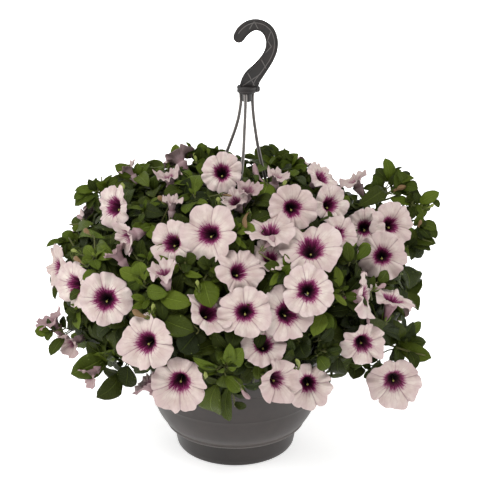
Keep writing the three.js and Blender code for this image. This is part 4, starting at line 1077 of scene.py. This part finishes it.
class Clearance:
    """Says whether leaves and stems keep clear of the blooms and the pot."""

    def __init__(self, blooms):
        self.throats = np.array([bloom.throat + bloom.axis * 2 for bloom in blooms])
        self.axes = np.array([bloom.axis for bloom in blooms])
        self.radii = np.array([bloom.radius for bloom in blooms])

    def crosses_bloom(self, points, free=FREE_AHEAD):
        """Whether any of the points is in a bloom's tube or before its open face."""
        apart = points[:, None, :] - self.throats
        along = (apart * self.axes).sum(2)
        aside = np.linalg.norm(apart - self.axes * along[..., None], axis=2)
        funnel = np.clip(self.radii * (FUNNEL_SHARE + FUNNEL_WIDENING * along), 0, self.radii * free)
        ahead = (along > FUNNEL_START) & (along < FUNNEL_END) & (aside < funnel)
        beside_tube = (along > -TUBE_CLEAR_DEPTH) & (along <= FUNNEL_START) & (aside < TUBE_CLEAR_RADIUS)
        return bool((ahead | beside_tube).any())

    def hides_bloom(self, points, free=FREE_IN_VIEW):
        """Whether any of the points stands between the eye and a bloom's open face."""
        rays = points - VIEW_EYE
        towards = rays @ self.axes.T
        ahead = ((self.throats - VIEW_EYE) * self.axes).sum(1)
        far = ahead / np.where(np.abs(towards) < 1e-6, 1e-6, towards)
        hits = VIEW_EYE + rays[:, None, :] * far[..., None]
        aside = np.linalg.norm(hits - self.throats, axis=2)
        return bool(((towards < 0) & (far > 1.0) & (far < 1.5) & (aside < self.radii * free)).any())

    def allows(self, base, tip):
        """Whether a leaf from base to tip keeps clear, along its middle and at both its sides."""
        middle = base + (tip - base) * LEAF_CHECKS
        if in_pot(middle) or self.hides_bloom(middle) or self.crosses_bloom(middle):
            return False
        aside = unit(np.cross(tip - base, VIEW_FORWARD)) * np.linalg.norm(tip - base) * LEAF_SIDE
        sides = np.concatenate([middle[2:7] + aside, middle[2:7] - aside])
        return not (self.hides_bloom(sides, SIDE_FREE) or self.crosses_bloom(sides, SIDE_FREE))


def add_filling(skins, clearance, rng):
    """Leaves inside the plant, in shells painted darker towards its middle as shade. In front they stay back
    and are painted darker.
    """
    for scale, count, most_light in FILL_SHELLS:
        for i in range(count):
            height = FILL_TOP - FILL_FALL * (i + 0.5) / count
            spread = dome_spread(height, i * SPIRAL_TURN + scale * FILL_TURN)
            out = outward(spread + vec(0, 0, DOME_CENTRE))
            in_front = float(np.clip(0.25 - out @ VIEW_FORWARD, 0, 1))
            centre = spread * (scale - 0.09 * in_front) + vec(0, 0, DOME_CENTRE)
            # Painted shade: deeper shells and the leaves held back in front are darker.
            light = rng.uniform(0.2, 1.0) * most_light * (1 - 0.5 * in_front)
            leaf = clear_leaf(centre, out, clearance, rng)
            if leaf:
                base, tip, normal = leaf
                width = np.linalg.norm(tip - base) * rng.uniform(0.54, 0.68)
                add_leaf(skins[wedge_of(centre)], base, tip, normal, width, rng, light, along=7, across=2)


def clear_leaf(centre, out, clearance, rng):
    """A leaf about the centre that hides no bloom, if a few turns of it find one."""
    for _ in range(8):
        lean = vec(rng.gauss(0, 1), rng.gauss(0, 1), rng.gauss(0.3, 1))
        forward = unit(lean - out * (out @ lean) * 0.7 + out * 0.25)
        length = rng.uniform(*FILL_LENGTHS)
        base = centre - forward * length / 2 - out * 4
        tip = centre + forward * length / 2 + out * 2
        if reach(tip) < 1.03 and clearance.allows(base, tip):
            return base, tip, out + vec(rng.uniform(-0.5, 0.5), rng.uniform(-0.5, 0.5), rng.uniform(0, 0.6))
    return None


# ---- Basket ----

def turned_rings(profile, steps):
    """Rings of corners about the z axis, one for each (radius, height) of a profile."""
    angle = np.arange(steps) * 2 * math.pi / steps
    return np.concatenate([
        np.stack([radius * np.cos(angle), radius * np.sin(angle), np.full(steps, height)], 1)
        for radius, height in profile
    ])


def lathe(profile, shine=((0, 0),)):
    """A turned piece about the z axis, from a closed profile, and how pale its painted highlight is at some
    heights.
    """
    turned = profile[1:-1]
    points = turned_rings(turned, LATHE_STEPS)
    heights, shares = zip(*shine)
    outside = np.hypot(points[:, 0], points[:, 1]) > LEDGE_RADIUS
    tone = np.outer(outside * np.interp(points[:, 2], heights, shares), (1, 0, 0))
    skin = Skin()
    skin.add(points, tone, wall(len(turned), LATHE_STEPS))
    return skin


def add_hook(skin):
    """The hook's band: a web between two raised edges, swept along its centre line."""
    line = curve([(x, 0, z) for x, z, _ in HOOK_LINE], HOOK_STEPS)
    halves = curve([(half, 0, 0) for _, _, half in HOOK_LINE], HOOK_STEPS)[:, 0]
    back = unit(line[0] - line[1]) * HOOK_LINE[0][2]
    angles = [math.radians(degrees) for degrees in HOOK_TIP_ANGLES]
    line = np.concatenate([[line[0] + back * math.sin(angle) for angle in angles], line])
    halves = np.concatenate([[HOOK_LINE[0][2] * math.cos(angle) for angle in angles], halves])
    rings = []
    for i, point in enumerate(line):
        across = across_line(line, i)
        corners = []
        for sign_y, sign_x in ((1, 1), (1, -1), (-1, -1), (-1, 1)):
            ordered = HOOK_SECTION if sign_y * sign_x < 0 else HOOK_SECTION[::-1]
            for inset, depth in ordered:
                reach_out = max(halves[i] - inset, 0.05)
                corners.append(point + across * sign_x * reach_out + vec(0, -sign_y * depth, 0))
        rings.append(np.array(corners))
    points = np.concatenate(rings)
    # Painted light: the sunk web is painted paler than the edges round it, which stay dark as if shaded.
    pale = [(WEB_SHINE if abs(corner[1]) < 3 else 0, 0, 0) for corner in rings[0]]
    skin.add(points, np.tile(pale, (len(rings), 1)), wall(len(rings), len(pale)))
    # The ridges carry a painted highlight.
    for depth in (-RIDGE_DEPTH, RIDGE_DEPTH):
        ridge = [
            line[i] + across_line(line, i) * halves[i] * RIDGE_SHARE + vec(0, depth, 0)
            for i in range(8, len(line) - 4)
        ]
        add_tube(skin, ridge, [RIDGE_RADIUS] * len(ridge), 6, RIDGE_HIGHLIGHT)


def across_line(line, i):
    """The direction square to the hook's line at one of its points, in the hook's plane."""
    tangent = unit(line[min(i + 1, len(line) - 1)] - line[max(i - 1, 0)])
    return vec(-tangent[2], 0, tangent[0])


def add_bar(skin, start, end):
    """A rib that stands in the hook's web, with chamfered long edges."""
    along = unit(end - start)
    across = vec(-along[2], 0, along[0]) * RIB_WIDTH / 2
    deep = vec(0, RIB_DEPTH, 0)
    chamfer = 0.72
    half = [
        across + deep * chamfer, across * chamfer + deep,
        -across * chamfer + deep, -across + deep * chamfer,
    ]
    section = half + [-corner for corner in half]
    points = np.array([end + corner for corner in section] + [start + corner for corner in section])
    # The rib carries a painted highlight.
    skin.add(points, RIDGE_HIGHLIGHT, wall(2, len(section)))


def add_turned(skin, centre, profile, steps=40, about_y=False):
    """A small turned solid about an upright axis, or about one from front to back."""
    points = turned_rings(profile, steps)
    if about_y:
        points = points[:, [0, 2, 1]] * [1, -1, 1]
    skin.add(points + centre, PLAIN_TONE, wall(len(profile), steps))


def add_box(skin, near, far, low, high, azimuth):
    """A box of the clip, with its corners taken off, turned to its strap's azimuth."""
    middle = np.array([(near + far) / 2, 0, (low + high) / 2])
    half = np.array([(far - near) / 2, CLIP_WIDTH / 2, (high - low) / 2])
    chamfer = 0.5
    c = chamfer * 0.6
    rings = []
    for height, inset in ((-1, chamfer), (-1, 0), (1, 0), (1, chamfer)):
        x, y = half[:2] - inset
        z = height * (half[2] - chamfer + inset)
        corners = [
            (x, c - y), (x, y - c), (x - c, y), (c - x, y),
            (-x, y - c), (-x, c - y), (c - x, -y), (x - c, -y),
        ]
        rings.append(np.array([(px, py, z) for px, py in corners]) + middle)
    cos, sin = math.cos(math.radians(azimuth)), math.sin(math.radians(azimuth))
    turn = np.array([[cos, sin, 0], [-sin, cos, 0], [0, 0, 1]])
    skin.add(np.concatenate(rings) @ turn, PLAIN_TONE, wall(4, 8, flipped=True))


def make_strap(side, azimuth, spread, material):
    """A strap from the hook's stub to the rim: a flat tube with rails, and its clip."""
    skin = Skin()
    route = curve([
        HUB + polar(STRAP_TOP_RADIUS, azimuth, 0.075),
        HUB + polar(STRAP_TOP_RADIUS, azimuth, -16),
        HUB + polar(STRAP_TOP_RADIUS * 0.75 + spread * 0.25, azimuth, -45),
        HUB + polar(spread, azimuth, -95),
        HUB * (0.4, 0, 0) + polar(74, azimuth, 285),
        polar(117, azimuth, 172),
        polar(119, azimuth, 154),
    ], STRAP_STEPS)
    # Painted sheen pales the strap, and painted highlights lie along its rails.
    add_tube(skin, route, [2.5] * STRAP_STEPS, STRAP_SIDES, STRAP_SHEEN, flat=STRAP_FLATNESS)
    rails = rings_along(route, [2.0] * STRAP_STEPS, STRAP_SIDES, STRAP_FLATNESS)
    rails = rails.reshape(STRAP_STEPS, STRAP_SIDES, 3)
    for corner in STRAP_RAILS:
        add_tube(skin, rails[:, corner], [1.0] * STRAP_STEPS, 6, RAIL_HIGHLIGHT)
    for near, far, low, high in CLIP_BOXES:
        add_box(skin, near, far, low, high, azimuth)
    finish(skin, f"strap_{side}", [material], HANGER_SHARP_FROM)


def finish(skin, node, materials, sharp_from=None):
    """The piece that takes a node's place. Edges that turn further than an angle in degrees are sharp."""
    piece = skin.piece(f"fine_{node}", materials)
    if sharp_from:
        piece.data.set_sharp_from_angle(angle=math.radians(sharp_from))
    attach(piece, "root")
    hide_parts(node)


# ---- Materials ----

def display(red, green, blue):
    """Linear light for a colour given in display levels from 0 to 255."""
    def one(level):
        share = level / 255
        return share / 12.92 if share <= 0.04045 else ((share + 0.055) / 1.055) ** 2.4
    return one(red), one(green), one(blue), 1.0


class Level:
    """A number that a material works out, which more sums can be made with."""

    def __init__(self, graph, socket):
        self.graph = graph
        self.socket = socket

    def __add__(self, other):
        return self.graph.math("ADD", self, other)

    def __sub__(self, other):
        return self.graph.math("SUBTRACT", self, other)

    def __mul__(self, other):
        return self.graph.math("MULTIPLY", self, other)

    def __truediv__(self, other):
        return self.graph.math("DIVIDE", self, other)


class Graph:
    """A material's nodes, made by calls that hand back levels, and sockets of colours and places."""

    def __init__(self, name, **constants):
        self.material = bpy.data.materials.new(name)
        self.material.use_nodes = True
        self.tree = self.material.node_tree
        self.shader = self.tree.nodes["Principled BSDF"]
        for label, value in constants.items():
            self.shader.inputs[label.replace("_", " ")].default_value = value

    def feed(self, socket, value):
        """Link a level or a socket, or set a number or a colour in display levels."""
        if isinstance(value, Level):
            value = value.socket
        if isinstance(value, bpy.types.NodeSocket):
            self.tree.links.new(value, socket)
        else:
            socket.default_value = display(*value) if isinstance(value, tuple) else value

    def node(self, kind, inputs, **settings):
        node = self.tree.nodes.new(kind)
        for label, value in settings.items():
            setattr(node, label, value)
        for label, value in inputs.items():
            self.feed(node.inputs[label], value)
        return node

    def attribute(self, name):
        return self.node("ShaderNodeAttribute", {}, attribute_name=name).outputs["Vector"]

    def position(self):
        return self.node("ShaderNodeTexCoord", {}).outputs["Object"]

    def split(self, vector):
        return [Level(self, output) for output in self.node("ShaderNodeSeparateXYZ", {0: vector}).outputs]

    def join(self, x, y, z):
        return self.node("ShaderNodeCombineXYZ", {0: x, 1: y, 2: z}).outputs[0]

    def math(self, operation, first, second=0.0):
        node = self.node("ShaderNodeMath", {0: first, 1: second}, operation=operation)
        return Level(self, node.outputs[0])

    def noise(self, vector, scale, detail=2.0, roughness=0.5):
        inputs = {"Vector": vector, "Scale": scale, "Detail": detail, "Roughness": roughness}
        return Level(self, self.node("ShaderNodeTexNoise", inputs).outputs["Fac"])

    def cells(self, vector, scale):
        inputs = {"Vector": vector, "Scale": scale}
        node = self.node("ShaderNodeTexVoronoi", inputs, feature="DISTANCE_TO_EDGE")
        return Level(self, node.outputs["Distance"])

    def ramp(self, value, stops):
        node = self.node("ShaderNodeValToRGB", {0: value})
        elements = node.color_ramp.elements
        while len(elements) < len(stops):
            elements.new(0.5)
        for element, (at, colour) in zip(elements, stops):
            element.position = at
            element.color = display(*colour)
        return node.outputs["Color"]

    def mix(self, share, first, second):
        return self.node("ShaderNodeMix", {0: share, 6: first, 7: second}, data_type="RGBA").outputs[2]

    def washed(self, colour, *washes):
        """The colour under washes, each a share and the colour that is laid on."""
        for share, wash in washes:
            colour = self.mix(share, colour, wash)
        return colour

    def between(self, value, low, high, from_level=0.0, to_level=1.0):
        inputs = {"Value": value, "From Min": low, "From Max": high, "To Min": from_level, "To Max": to_level}
        node = self.node("ShaderNodeMapRange", inputs, interpolation_type="SMOOTHSTEP")
        return Level(self, node.outputs[0])

    def bump(self, height, strength, distance):
        inputs = {"Height": height, "Strength": strength, "Distance": distance}
        self.feed(self.shader.inputs["Normal"], self.node("ShaderNodeBump", inputs).outputs[0])

    def done(self, colour, roughness):
        self.feed(self.shader.inputs["Base Color"], colour)
        self.feed(self.shader.inputs["Roughness"], roughness)
        return self.material


def lines(g, value, width):
    """Thin lines where a sine of the value crosses nought."""
    return g.between(g.math("ABSOLUTE", g.math("SINE", value)), 0.0, width, 1.0, 0.0)


class PetalMarks:
    """The veins, folds and blotches of a petal, and the noise for its painted lobe shade, from its place and
    tone.
    """

    def __init__(self, g, x, y, shade, seed):
        self.shade = shade
        self.out = g.math("SQRT", x * x + y * y)
        safe = g.math("MAXIMUM", self.out, 0.001)
        self.streak = g.noise(g.join(x / safe, y / safe, self.out * 1.2 + seed), 9.0, 4.0, 0.65)
        # A noise that paints shade on some lobes more than others, and makes the throat lopsided.
        self.lobe_shade = g.noise(g.join(x / safe, y / safe, seed * 7.0), 2.2)
        self.blotch = g.noise(g.join(x, y, seed * 9.0), 3.0, 3.0)
        angle = g.math("ARCTAN2", y, x)
        warp = (g.noise(g.join(x, y, seed), 4.0, 2.0) - 0.5) * 0.5
        bent_angle = angle + warp * g.between(self.out, 0.3, 0.8)
        self.fold = lines(g, angle * 2.5, g.between(self.out, 0.3, 1.0, 0.16, 0.05))
        self.rib = lines(g, angle * 2.5 + math.pi / 2, 0.06)
        self.vein = lines(g, bent_angle * 12.5, 0.3)
        self.fine = lines(g, bent_angle * 32.5, 0.35)


def petal_face(g, marks):
    """White-pink petals with a purple throat whose edge feathers out; some lobes, the folds and the deep
    throat carry painted shade.
    """
    inner = g.between(marks.out, 0.3, 0.85, 1.0, 0.3)
    petal = g.washed(
        (209, 199, 189),
        (g.between(marks.blotch, 0.3, 0.7), (186, 168, 160)),
        # Painted shade: some lobes are greyer than others.
        (g.between(marks.lobe_shade, 0.45, 0.7) * 0.6, (176, 154, 150)),
        (g.between(marks.out, 0.6, 1.0) * 0.35, (198, 174, 180)),
        (marks.shade * 0.4, (176, 155, 150)),
        (marks.fine * inner * 0.24, (164, 130, 144)),
        (marks.vein * inner * 0.5, (148, 104, 128)),
        # The fold and rib lines are partly darker seams and partly painted shade in the creases.
        (marks.fold * 0.6, (138, 108, 118)),
        (marks.rib * 0.25, (160, 134, 142)),
    )
    feather = (marks.streak - 0.5) * 0.4 + marks.vein * 0.13 + (marks.lobe_shade - 0.5) * 0.3
    throat_at = marks.out * (marks.shade * 0.24 + 0.9) - feather
    # The throat's purple darkens to near black deep in the tube: partly its own colour, partly painted shade.
    purple = g.ramp(throat_at, [
        (0.1, (24, 2, 12)), (0.2, (56, 5, 32)), (0.28, (96, 14, 62)),
        (0.36, (134, 50, 98)), (0.46, (170, 112, 140)),
    ])
    return g.mix(g.between(throat_at, 0.33, 0.5), purple, petal)


def petal_back(g, marks):
    """The limb's underside, which goes over to the maroon outside of the tube."""
    tube = g.mix(marks.streak, (128, 84, 98), (84, 40, 58))
    return g.washed(
        g.mix(marks.streak, (196, 174, 172), (160, 132, 136)),
        (marks.vein * 0.4, (128, 98, 108)),
        (g.between(marks.out, 0.14, 0.45, 0.8, 0.0), tube),
    )


def petal_material():
    """Petals over and under. The tone's first value makes them mauve, from 1 on dried, and under 0 green."""
    g = Graph("petal_skin", Specular_IOR_Level=0.25)
    place = g.attribute("place")
    x, y, side = g.split(place)
    mauve, shade, seed = g.split(g.attribute("tone"))
    marks = PetalMarks(g, x, y, shade, seed)
    streak = marks.streak
    skin = g.washed(
        petal_face(g, marks),
        (g.math("MINIMUM", side, 1.0), petal_back(g, marks)),
        (g.math("MINIMUM", mauve, 1.0) * 0.8, g.mix(streak, (164, 132, 134), (112, 80, 90))),
        (g.math("MAXIMUM", mauve - 1.0, 0.0), g.mix(streak, (150, 122, 84), (84, 60, 40))),
        (g.math("MAXIMUM", mauve * -1.0, 0.0), g.mix(streak, (150, 156, 84), (112, 124, 58))),
        (g.math("MAXIMUM", side - 1.0, 0.0), g.mix(streak, (180, 174, 104), (122, 122, 56))),
    )
    height = g.noise(place, 40.0, 3.0) - marks.vein * 0.5 + streak * 1.6 - marks.fold * 0.8
    g.bump(height, 0.5, 0.0009)
    return g.done(skin, g.between(marks.out, 0.2, 0.5, 0.95, 0.55))


def leaf_material():
    """A green with painted light and shade, from the plant's dark middle to its light tips, with a pale
    midrib and side veins.
    """
    g = Graph("leaf_skin", Specular_IOR_Level=0.1)
    across, along, side = g.split(g.attribute("place"))
    light, hue, _ = g.split(g.attribute("tone"))
    wide = g.math("ABSOLUTE", across)
    mottle = g.noise(g.position(), 90.0, 3.0)
    rib = g.between(wide, 0.02, 0.08, 1.0, 0.0)
    slope = wide * -0.3 + along
    lateral = lines(g, slope * 19.0 + mottle * 1.5, 0.2)
    net = g.between(g.cells(g.position(), 420.0), 0.0, 0.09, 1.0, 0.0)
    vein = g.math("MAXIMUM", g.math("MAXIMUM", rib, lateral * 0.6), net * 0.2)
    # Painted light and shade: each leaf's light value picks a green from near black to pale.
    green = g.ramp(light, [
        (0.0, (8, 11, 3)), (0.3, (34, 43, 11)), (0.55, (73, 88, 19)),
        (0.75, (98, 113, 40)), (1.0, (136, 148, 68)),
    ])
    colour = g.washed(
        green,
        (hue * 0.25, (88, 96, 18)),
        (mottle * 0.3, (40, 54, 12)),
        (vein * (light * 0.36 + 0.08), (128, 146, 62)),
        (side * 0.5, (112, 126, 62)),
    )
    g.bump(vein * -0.8 + g.noise(g.position(), 500.0, 2.0) * 0.3, 0.85, 0.0015)
    return g.done(colour, g.between(mottle, 0.3, 0.7, 0.42, 0.56))


def stem_material():
    """A dull green that is reddish on some stems."""
    g = Graph("stem_skin", Sheen_Weight=0.1, Sheen_Roughness=0.4, Specular_IOR_Level=0.2)
    _, hue, _ = g.split(g.attribute("tone"))
    grain = g.noise(g.position(), 160.0, 3.0)
    colour = g.mix(grain, (86, 94, 44), (62, 70, 30))
    colour = g.mix(hue * 0.3, colour, (110, 92, 66))
    g.bump(grain, 0.4, 0.0006)
    return g.done(colour, g.between(grain, 0.3, 0.7, 0.45, 0.65))


def plastic_material(name, body, worn, roughness, scale=1.0, mottle=0.2):
    """Moulded plastic: a fine grain and faint flow marks. A piece's tone tells how much painted highlight is
    laid on it.
    """
    g = Graph(name, Specular_IOR_Level=0.5)
    place = g.position()
    painted_shine, _, _ = g.split(g.attribute("tone"))
    grain = g.noise(place, 1400.0 * scale, 2.0)
    flow = g.noise(place, 14.0 * scale, 3.0)
    marks = g.noise(place, 60.0 * scale, 3.0)
    colour = g.washed(
        body,
        (g.between(flow, 0.3, 0.7), worn),
        (g.between(marks, 0.4, 0.65) * mottle, (9, 8, 7)),
        # Painted highlight: the tone pales the plastic towards a light grey.
        (painted_shine, (152, 146, 142)),
    )
    g.bump(marks * 0.4 + grain, 0.12, 0.0003)
    return g.done(colour, g.between(flow, 0.3, 0.7, roughness - 0.05, roughness + 0.07))


def soil_material():
    g = Graph("soil_crumb")
    place = g.position()
    crumb = g.noise(place, 220.0, 4.0, 0.7)
    lumps = g.cells(place, 160.0)
    colour = g.ramp(crumb, [(0.3, (22, 15, 10)), (0.55, (58, 42, 30)), (0.75, (104, 84, 64))])
    g.bump(crumb + lumps, 1.0, 0.004)
    return g.done(colour, 0.95)


def floor_material():
    g = Graph("floor_paper", Emission_Strength=0.55)
    grain = g.noise(g.position(), 300.0, 2.0)
    return g.done(g.mix(grain, (246, 246, 245), (250, 250, 249)), 0.9)


# ---- Stage ----

# In metres, as all of the stage is.
FLOOR_HALF = 6.0
WORLD_STRENGTH = 0.74
# Lights: (name, place, width, watts, what it is aimed at).
LIGHTS = [
    ("key_light", (-0.7, -1.3, 2.6), 1.3, 44, (0, 0, 0.28)),
    ("left_light", (-2.0, -0.6, 0.5), 1.4, 8, (0, 0, 0)),
    ("right_light", (2.0, -0.4, 0.5), 1.4, 10, (0, 0, 0)),
    ("back_light", (0, 3.2, 2.4), 3.0, 150, (0, 4.6, 0)),
]


def make_camera():
    """The camera that stands where the photograph was taken from."""
    data = bpy.data.cameras.new("camera")
    data.lens = LENS
    data.sensor_width = SENSOR_WIDTH
    data.clip_start = 0.05
    data.clip_end = 50
    camera = bpy.data.objects.new("camera", data)
    bpy.context.collection.objects.link(camera)
    axes = np.stack([VIEW_RIGHT, VIEW_UP, -VIEW_FORWARD, VIEW_EYE * MM], 1)
    camera.matrix_world = Matrix((*axes.tolist(), (0, 0, 0, 1)))
    bpy.context.scene.camera = camera


def make_light(name, place, width, watts, target):
    data = bpy.data.lights.new(name, "AREA")
    data.shape = "DISK"
    data.size = width
    data.energy = watts
    light = bpy.data.objects.new(name, data)
    light.location = place
    aim = Vector(target) - Vector(place)
    light.rotation_euler = aim.to_track_quat("-Z", "Y").to_euler()
    bpy.context.collection.objects.link(light)


def make_floor():
    mesh = bpy.data.meshes.new("floor")
    corners = [(x * FLOOR_HALF, y * FLOOR_HALF, 0) for x, y in ((-1, -1), (1, -1), (1, 1), (-1, 1))]
    mesh.from_pydata(corners, [], [(0, 1, 2, 3)])
    mesh.materials.append(floor_material())
    floor = bpy.data.objects.new("floor", mesh)
    bpy.context.collection.objects.link(floor)


def make_stage():
    """A plain studio: white paper, an even white world and four soft lights."""
    make_floor()
    world = bpy.data.worlds.new("studio")
    world.use_nodes = True
    background = world.node_tree.nodes["Background"]
    background.inputs["Color"].default_value = (1, 1, 1, 1)
    background.inputs["Strength"].default_value = WORLD_STRENGTH
    bpy.context.scene.world = world
    for light in LIGHTS:
        make_light(*light)
    bpy.context.scene.view_settings.view_transform = "Standard"


# ---- Assembly ----

def make_hook(material):
    """The hook with its ribs, collar, knob, stub and pin."""
    hook = Skin()
    add_hook(hook)
    for x0, z0, x1, z1 in HOOK_RIBS:
        add_bar(hook, vec(x0, 0, z0), vec(x1, 0, z1))
    collar = HUB + vec(0, 0, 5.1)
    add_turned(hook, collar, COLLAR_PROFILE)
    add_turned(hook, collar + vec(13.6, 0, 0), KNOB_PROFILE)
    add_turned(hook, HUB, STUB_PROFILE)
    add_turned(hook, vec(37, 0, 585), PIN_PROFILE, 20, about_y=True)
    finish(hook, "hook", [material], HANGER_SHARP_FROM)


def make_basket():
    """The pot, its tray, the hook, the straps and the soil's material."""
    pot = plastic_material("pot_plastic_grey", (38, 30, 27), (45, 36, 33), 0.4)
    # The tray's plastic is a darker copy of the pot's: painted shade on the lower part.
    tray = plastic_material("tray_plastic_grey", (27, 20, 17), (37, 29, 26), 0.4)
    hanger = plastic_material("hanger_plastic_grey", (17, 11, 9), (34, 25, 22), 0.5, 2.0, 0.8)
    finish(lathe(BOWL_PROFILE, LEDGE_SHINE), "pot", [pot], BOWL_SHARP_FROM)
    finish(lathe(TRAY_PROFILE), "drip_tray", [tray], BOWL_SHARP_FROM)
    make_hook(hanger)
    for side, (azimuth, spread) in STRAPS.items():
        make_strap(side, azimuth, spread, hanger)
    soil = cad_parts["soil"]
    earth = soil_material()
    if soil.material_slots:
        soil.material_slots[0].material = earth
    else:
        soil.data.materials.append(earth)


def nearest_buds(buds, target):
    """Where a branch may leave from, the nearest first. Places above the target count as further."""
    gaps = np.linalg.norm(buds - target, axis=1) + np.maximum(buds[:, 2] - target[2], 0) * 0.4
    return buds[np.argsort(gaps)]


def make_blooms(blooms, petal):
    """One piece for each node of blooms."""
    by_name = {bloom.name: bloom for bloom in blooms}
    for node in list(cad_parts):
        kind, _, label = node.partition("_")
        if kind not in ("bloom", "spray"):
            continue
        pair = [label, label[:-1] + "b"]
        skin = Skin()
        for name in [label] if kind == "bloom" else SPRAYS.get(node, pair):
            add_corolla(skin, by_name[name])
        finish(skin, node, [petal])


def add_main_stems(skins, rng):
    """The main stems of each wedge; the places its branches leave from are handed back."""
    buds = []
    for wedge, skin in enumerate(skins):
        upright, arms = main_stems(wedge)
        tone = (0.5, rng.random(), rng.random())
        add_tube(skin, curve(upright, len(UPRIGHT_RADII)), UPRIGHT_RADII, 10, tone, STEM_KIND)
        for arm in arms:
            add_tube(skin, arm, np.linspace(*ARM_RADII, len(arm)), 9, tone, STEM_KIND)
        buds.append(np.concatenate([curve(arm, 30)[3:] for arm in arms]))
    return buds


def add_front_shoots(skins, buds, shoots, rng, clearance):
    """The leafy shoots in front; the places that leaves and buds may grow from are handed back."""
    stems = []
    for root, tip in shoots:
        wedge = wedge_of(root)
        starts = nearest_buds(buds[wedge], root)[:30:3]
        clear = [start for start in starts if not clearance.crosses_bloom(curve([start, root, tip], 16))]
        start = clear[0] if clear else starts[0]
        if add_leafy_top(skins[wedge], root, tip, rng, clearance):
            add_stem(skins[wedge], [start, root, root + (tip - root) * 0.88], SHOOT_RADII, rng, 8)
        stems.append(curve([start, root, tip], 12)[5:])
    return np.concatenate(stems)


def add_front_bud(skins, stems, row, rng):
    """A bud or wilted bloom set out as it is seen, with its stalk and calyx."""
    base_across, base_down, tip_across, tip_down, width, kind = row
    base = seen_at(base_across, base_down, 2)
    tip = seen_at(tip_across, tip_down, -6)
    skin = skins[wedge_of(base)]
    axis = unit(tip - base)
    inner = base - axis * 5
    nearest = stems[np.argmin(np.linalg.norm(stems - inner, axis=1))]
    add_stem(skin, [nearest, inner, base], LEAF_STALK_RADII, rng)
    add_bud(skin, base, tip, width, BUD_MAUVES[kind], rng)
    add_sepals(skin, base, axis, 6, 0.3, rng)


def make_plant():
    """The blooms, then the stems, leaves and buds, gathered by wedge."""
    draws = Draws(LAYOUT_SEED)
    blooms = bloom_spots(draws)
    front_shoots, hidden_shoots = shoot_spots(draws)
    clearance = Clearance(blooms)
    petal = petal_material()
    make_blooms(blooms, petal)
    skins = [Skin(PETAL_KIND) for _ in range(WEDGES)]
    rng = random.Random(PLANT_SEED)
    buds = add_main_stems(skins, rng)
    for bloom in blooms:
        wedge = wedge_of(bloom.base())
        add_stalk(skins[wedge], buds[wedge], bloom, rng, clearance)
    stems = add_front_shoots(skins, buds, front_shoots, rng, clearance)
    for row in FRONT_LEAVES:
        add_front_leaf(skins[wedge_of(seen_at(row[0], row[1], 10))], stems, row, rng, clearance)
    for row in FRONT_BUDS:
        add_front_bud(skins, stems, row, rng)
    for spot in hidden_shoots:
        wedge = wedge_of(spot[0])
        add_shoot(skins[wedge], nearest_buds(buds[wedge], spot[0])[0], spot, rng, clearance)
    add_filling(skins, clearance, random.Random(FILLING_SEED))
    foliage = [leaf_material(), stem_material(), petal]
    for wedge, skin in enumerate(skins):
        finish(skin, f"leafy_stem_{wedge + 1:02d}", foliage)


make_camera()
make_stage()
make_basket()
make_plant()
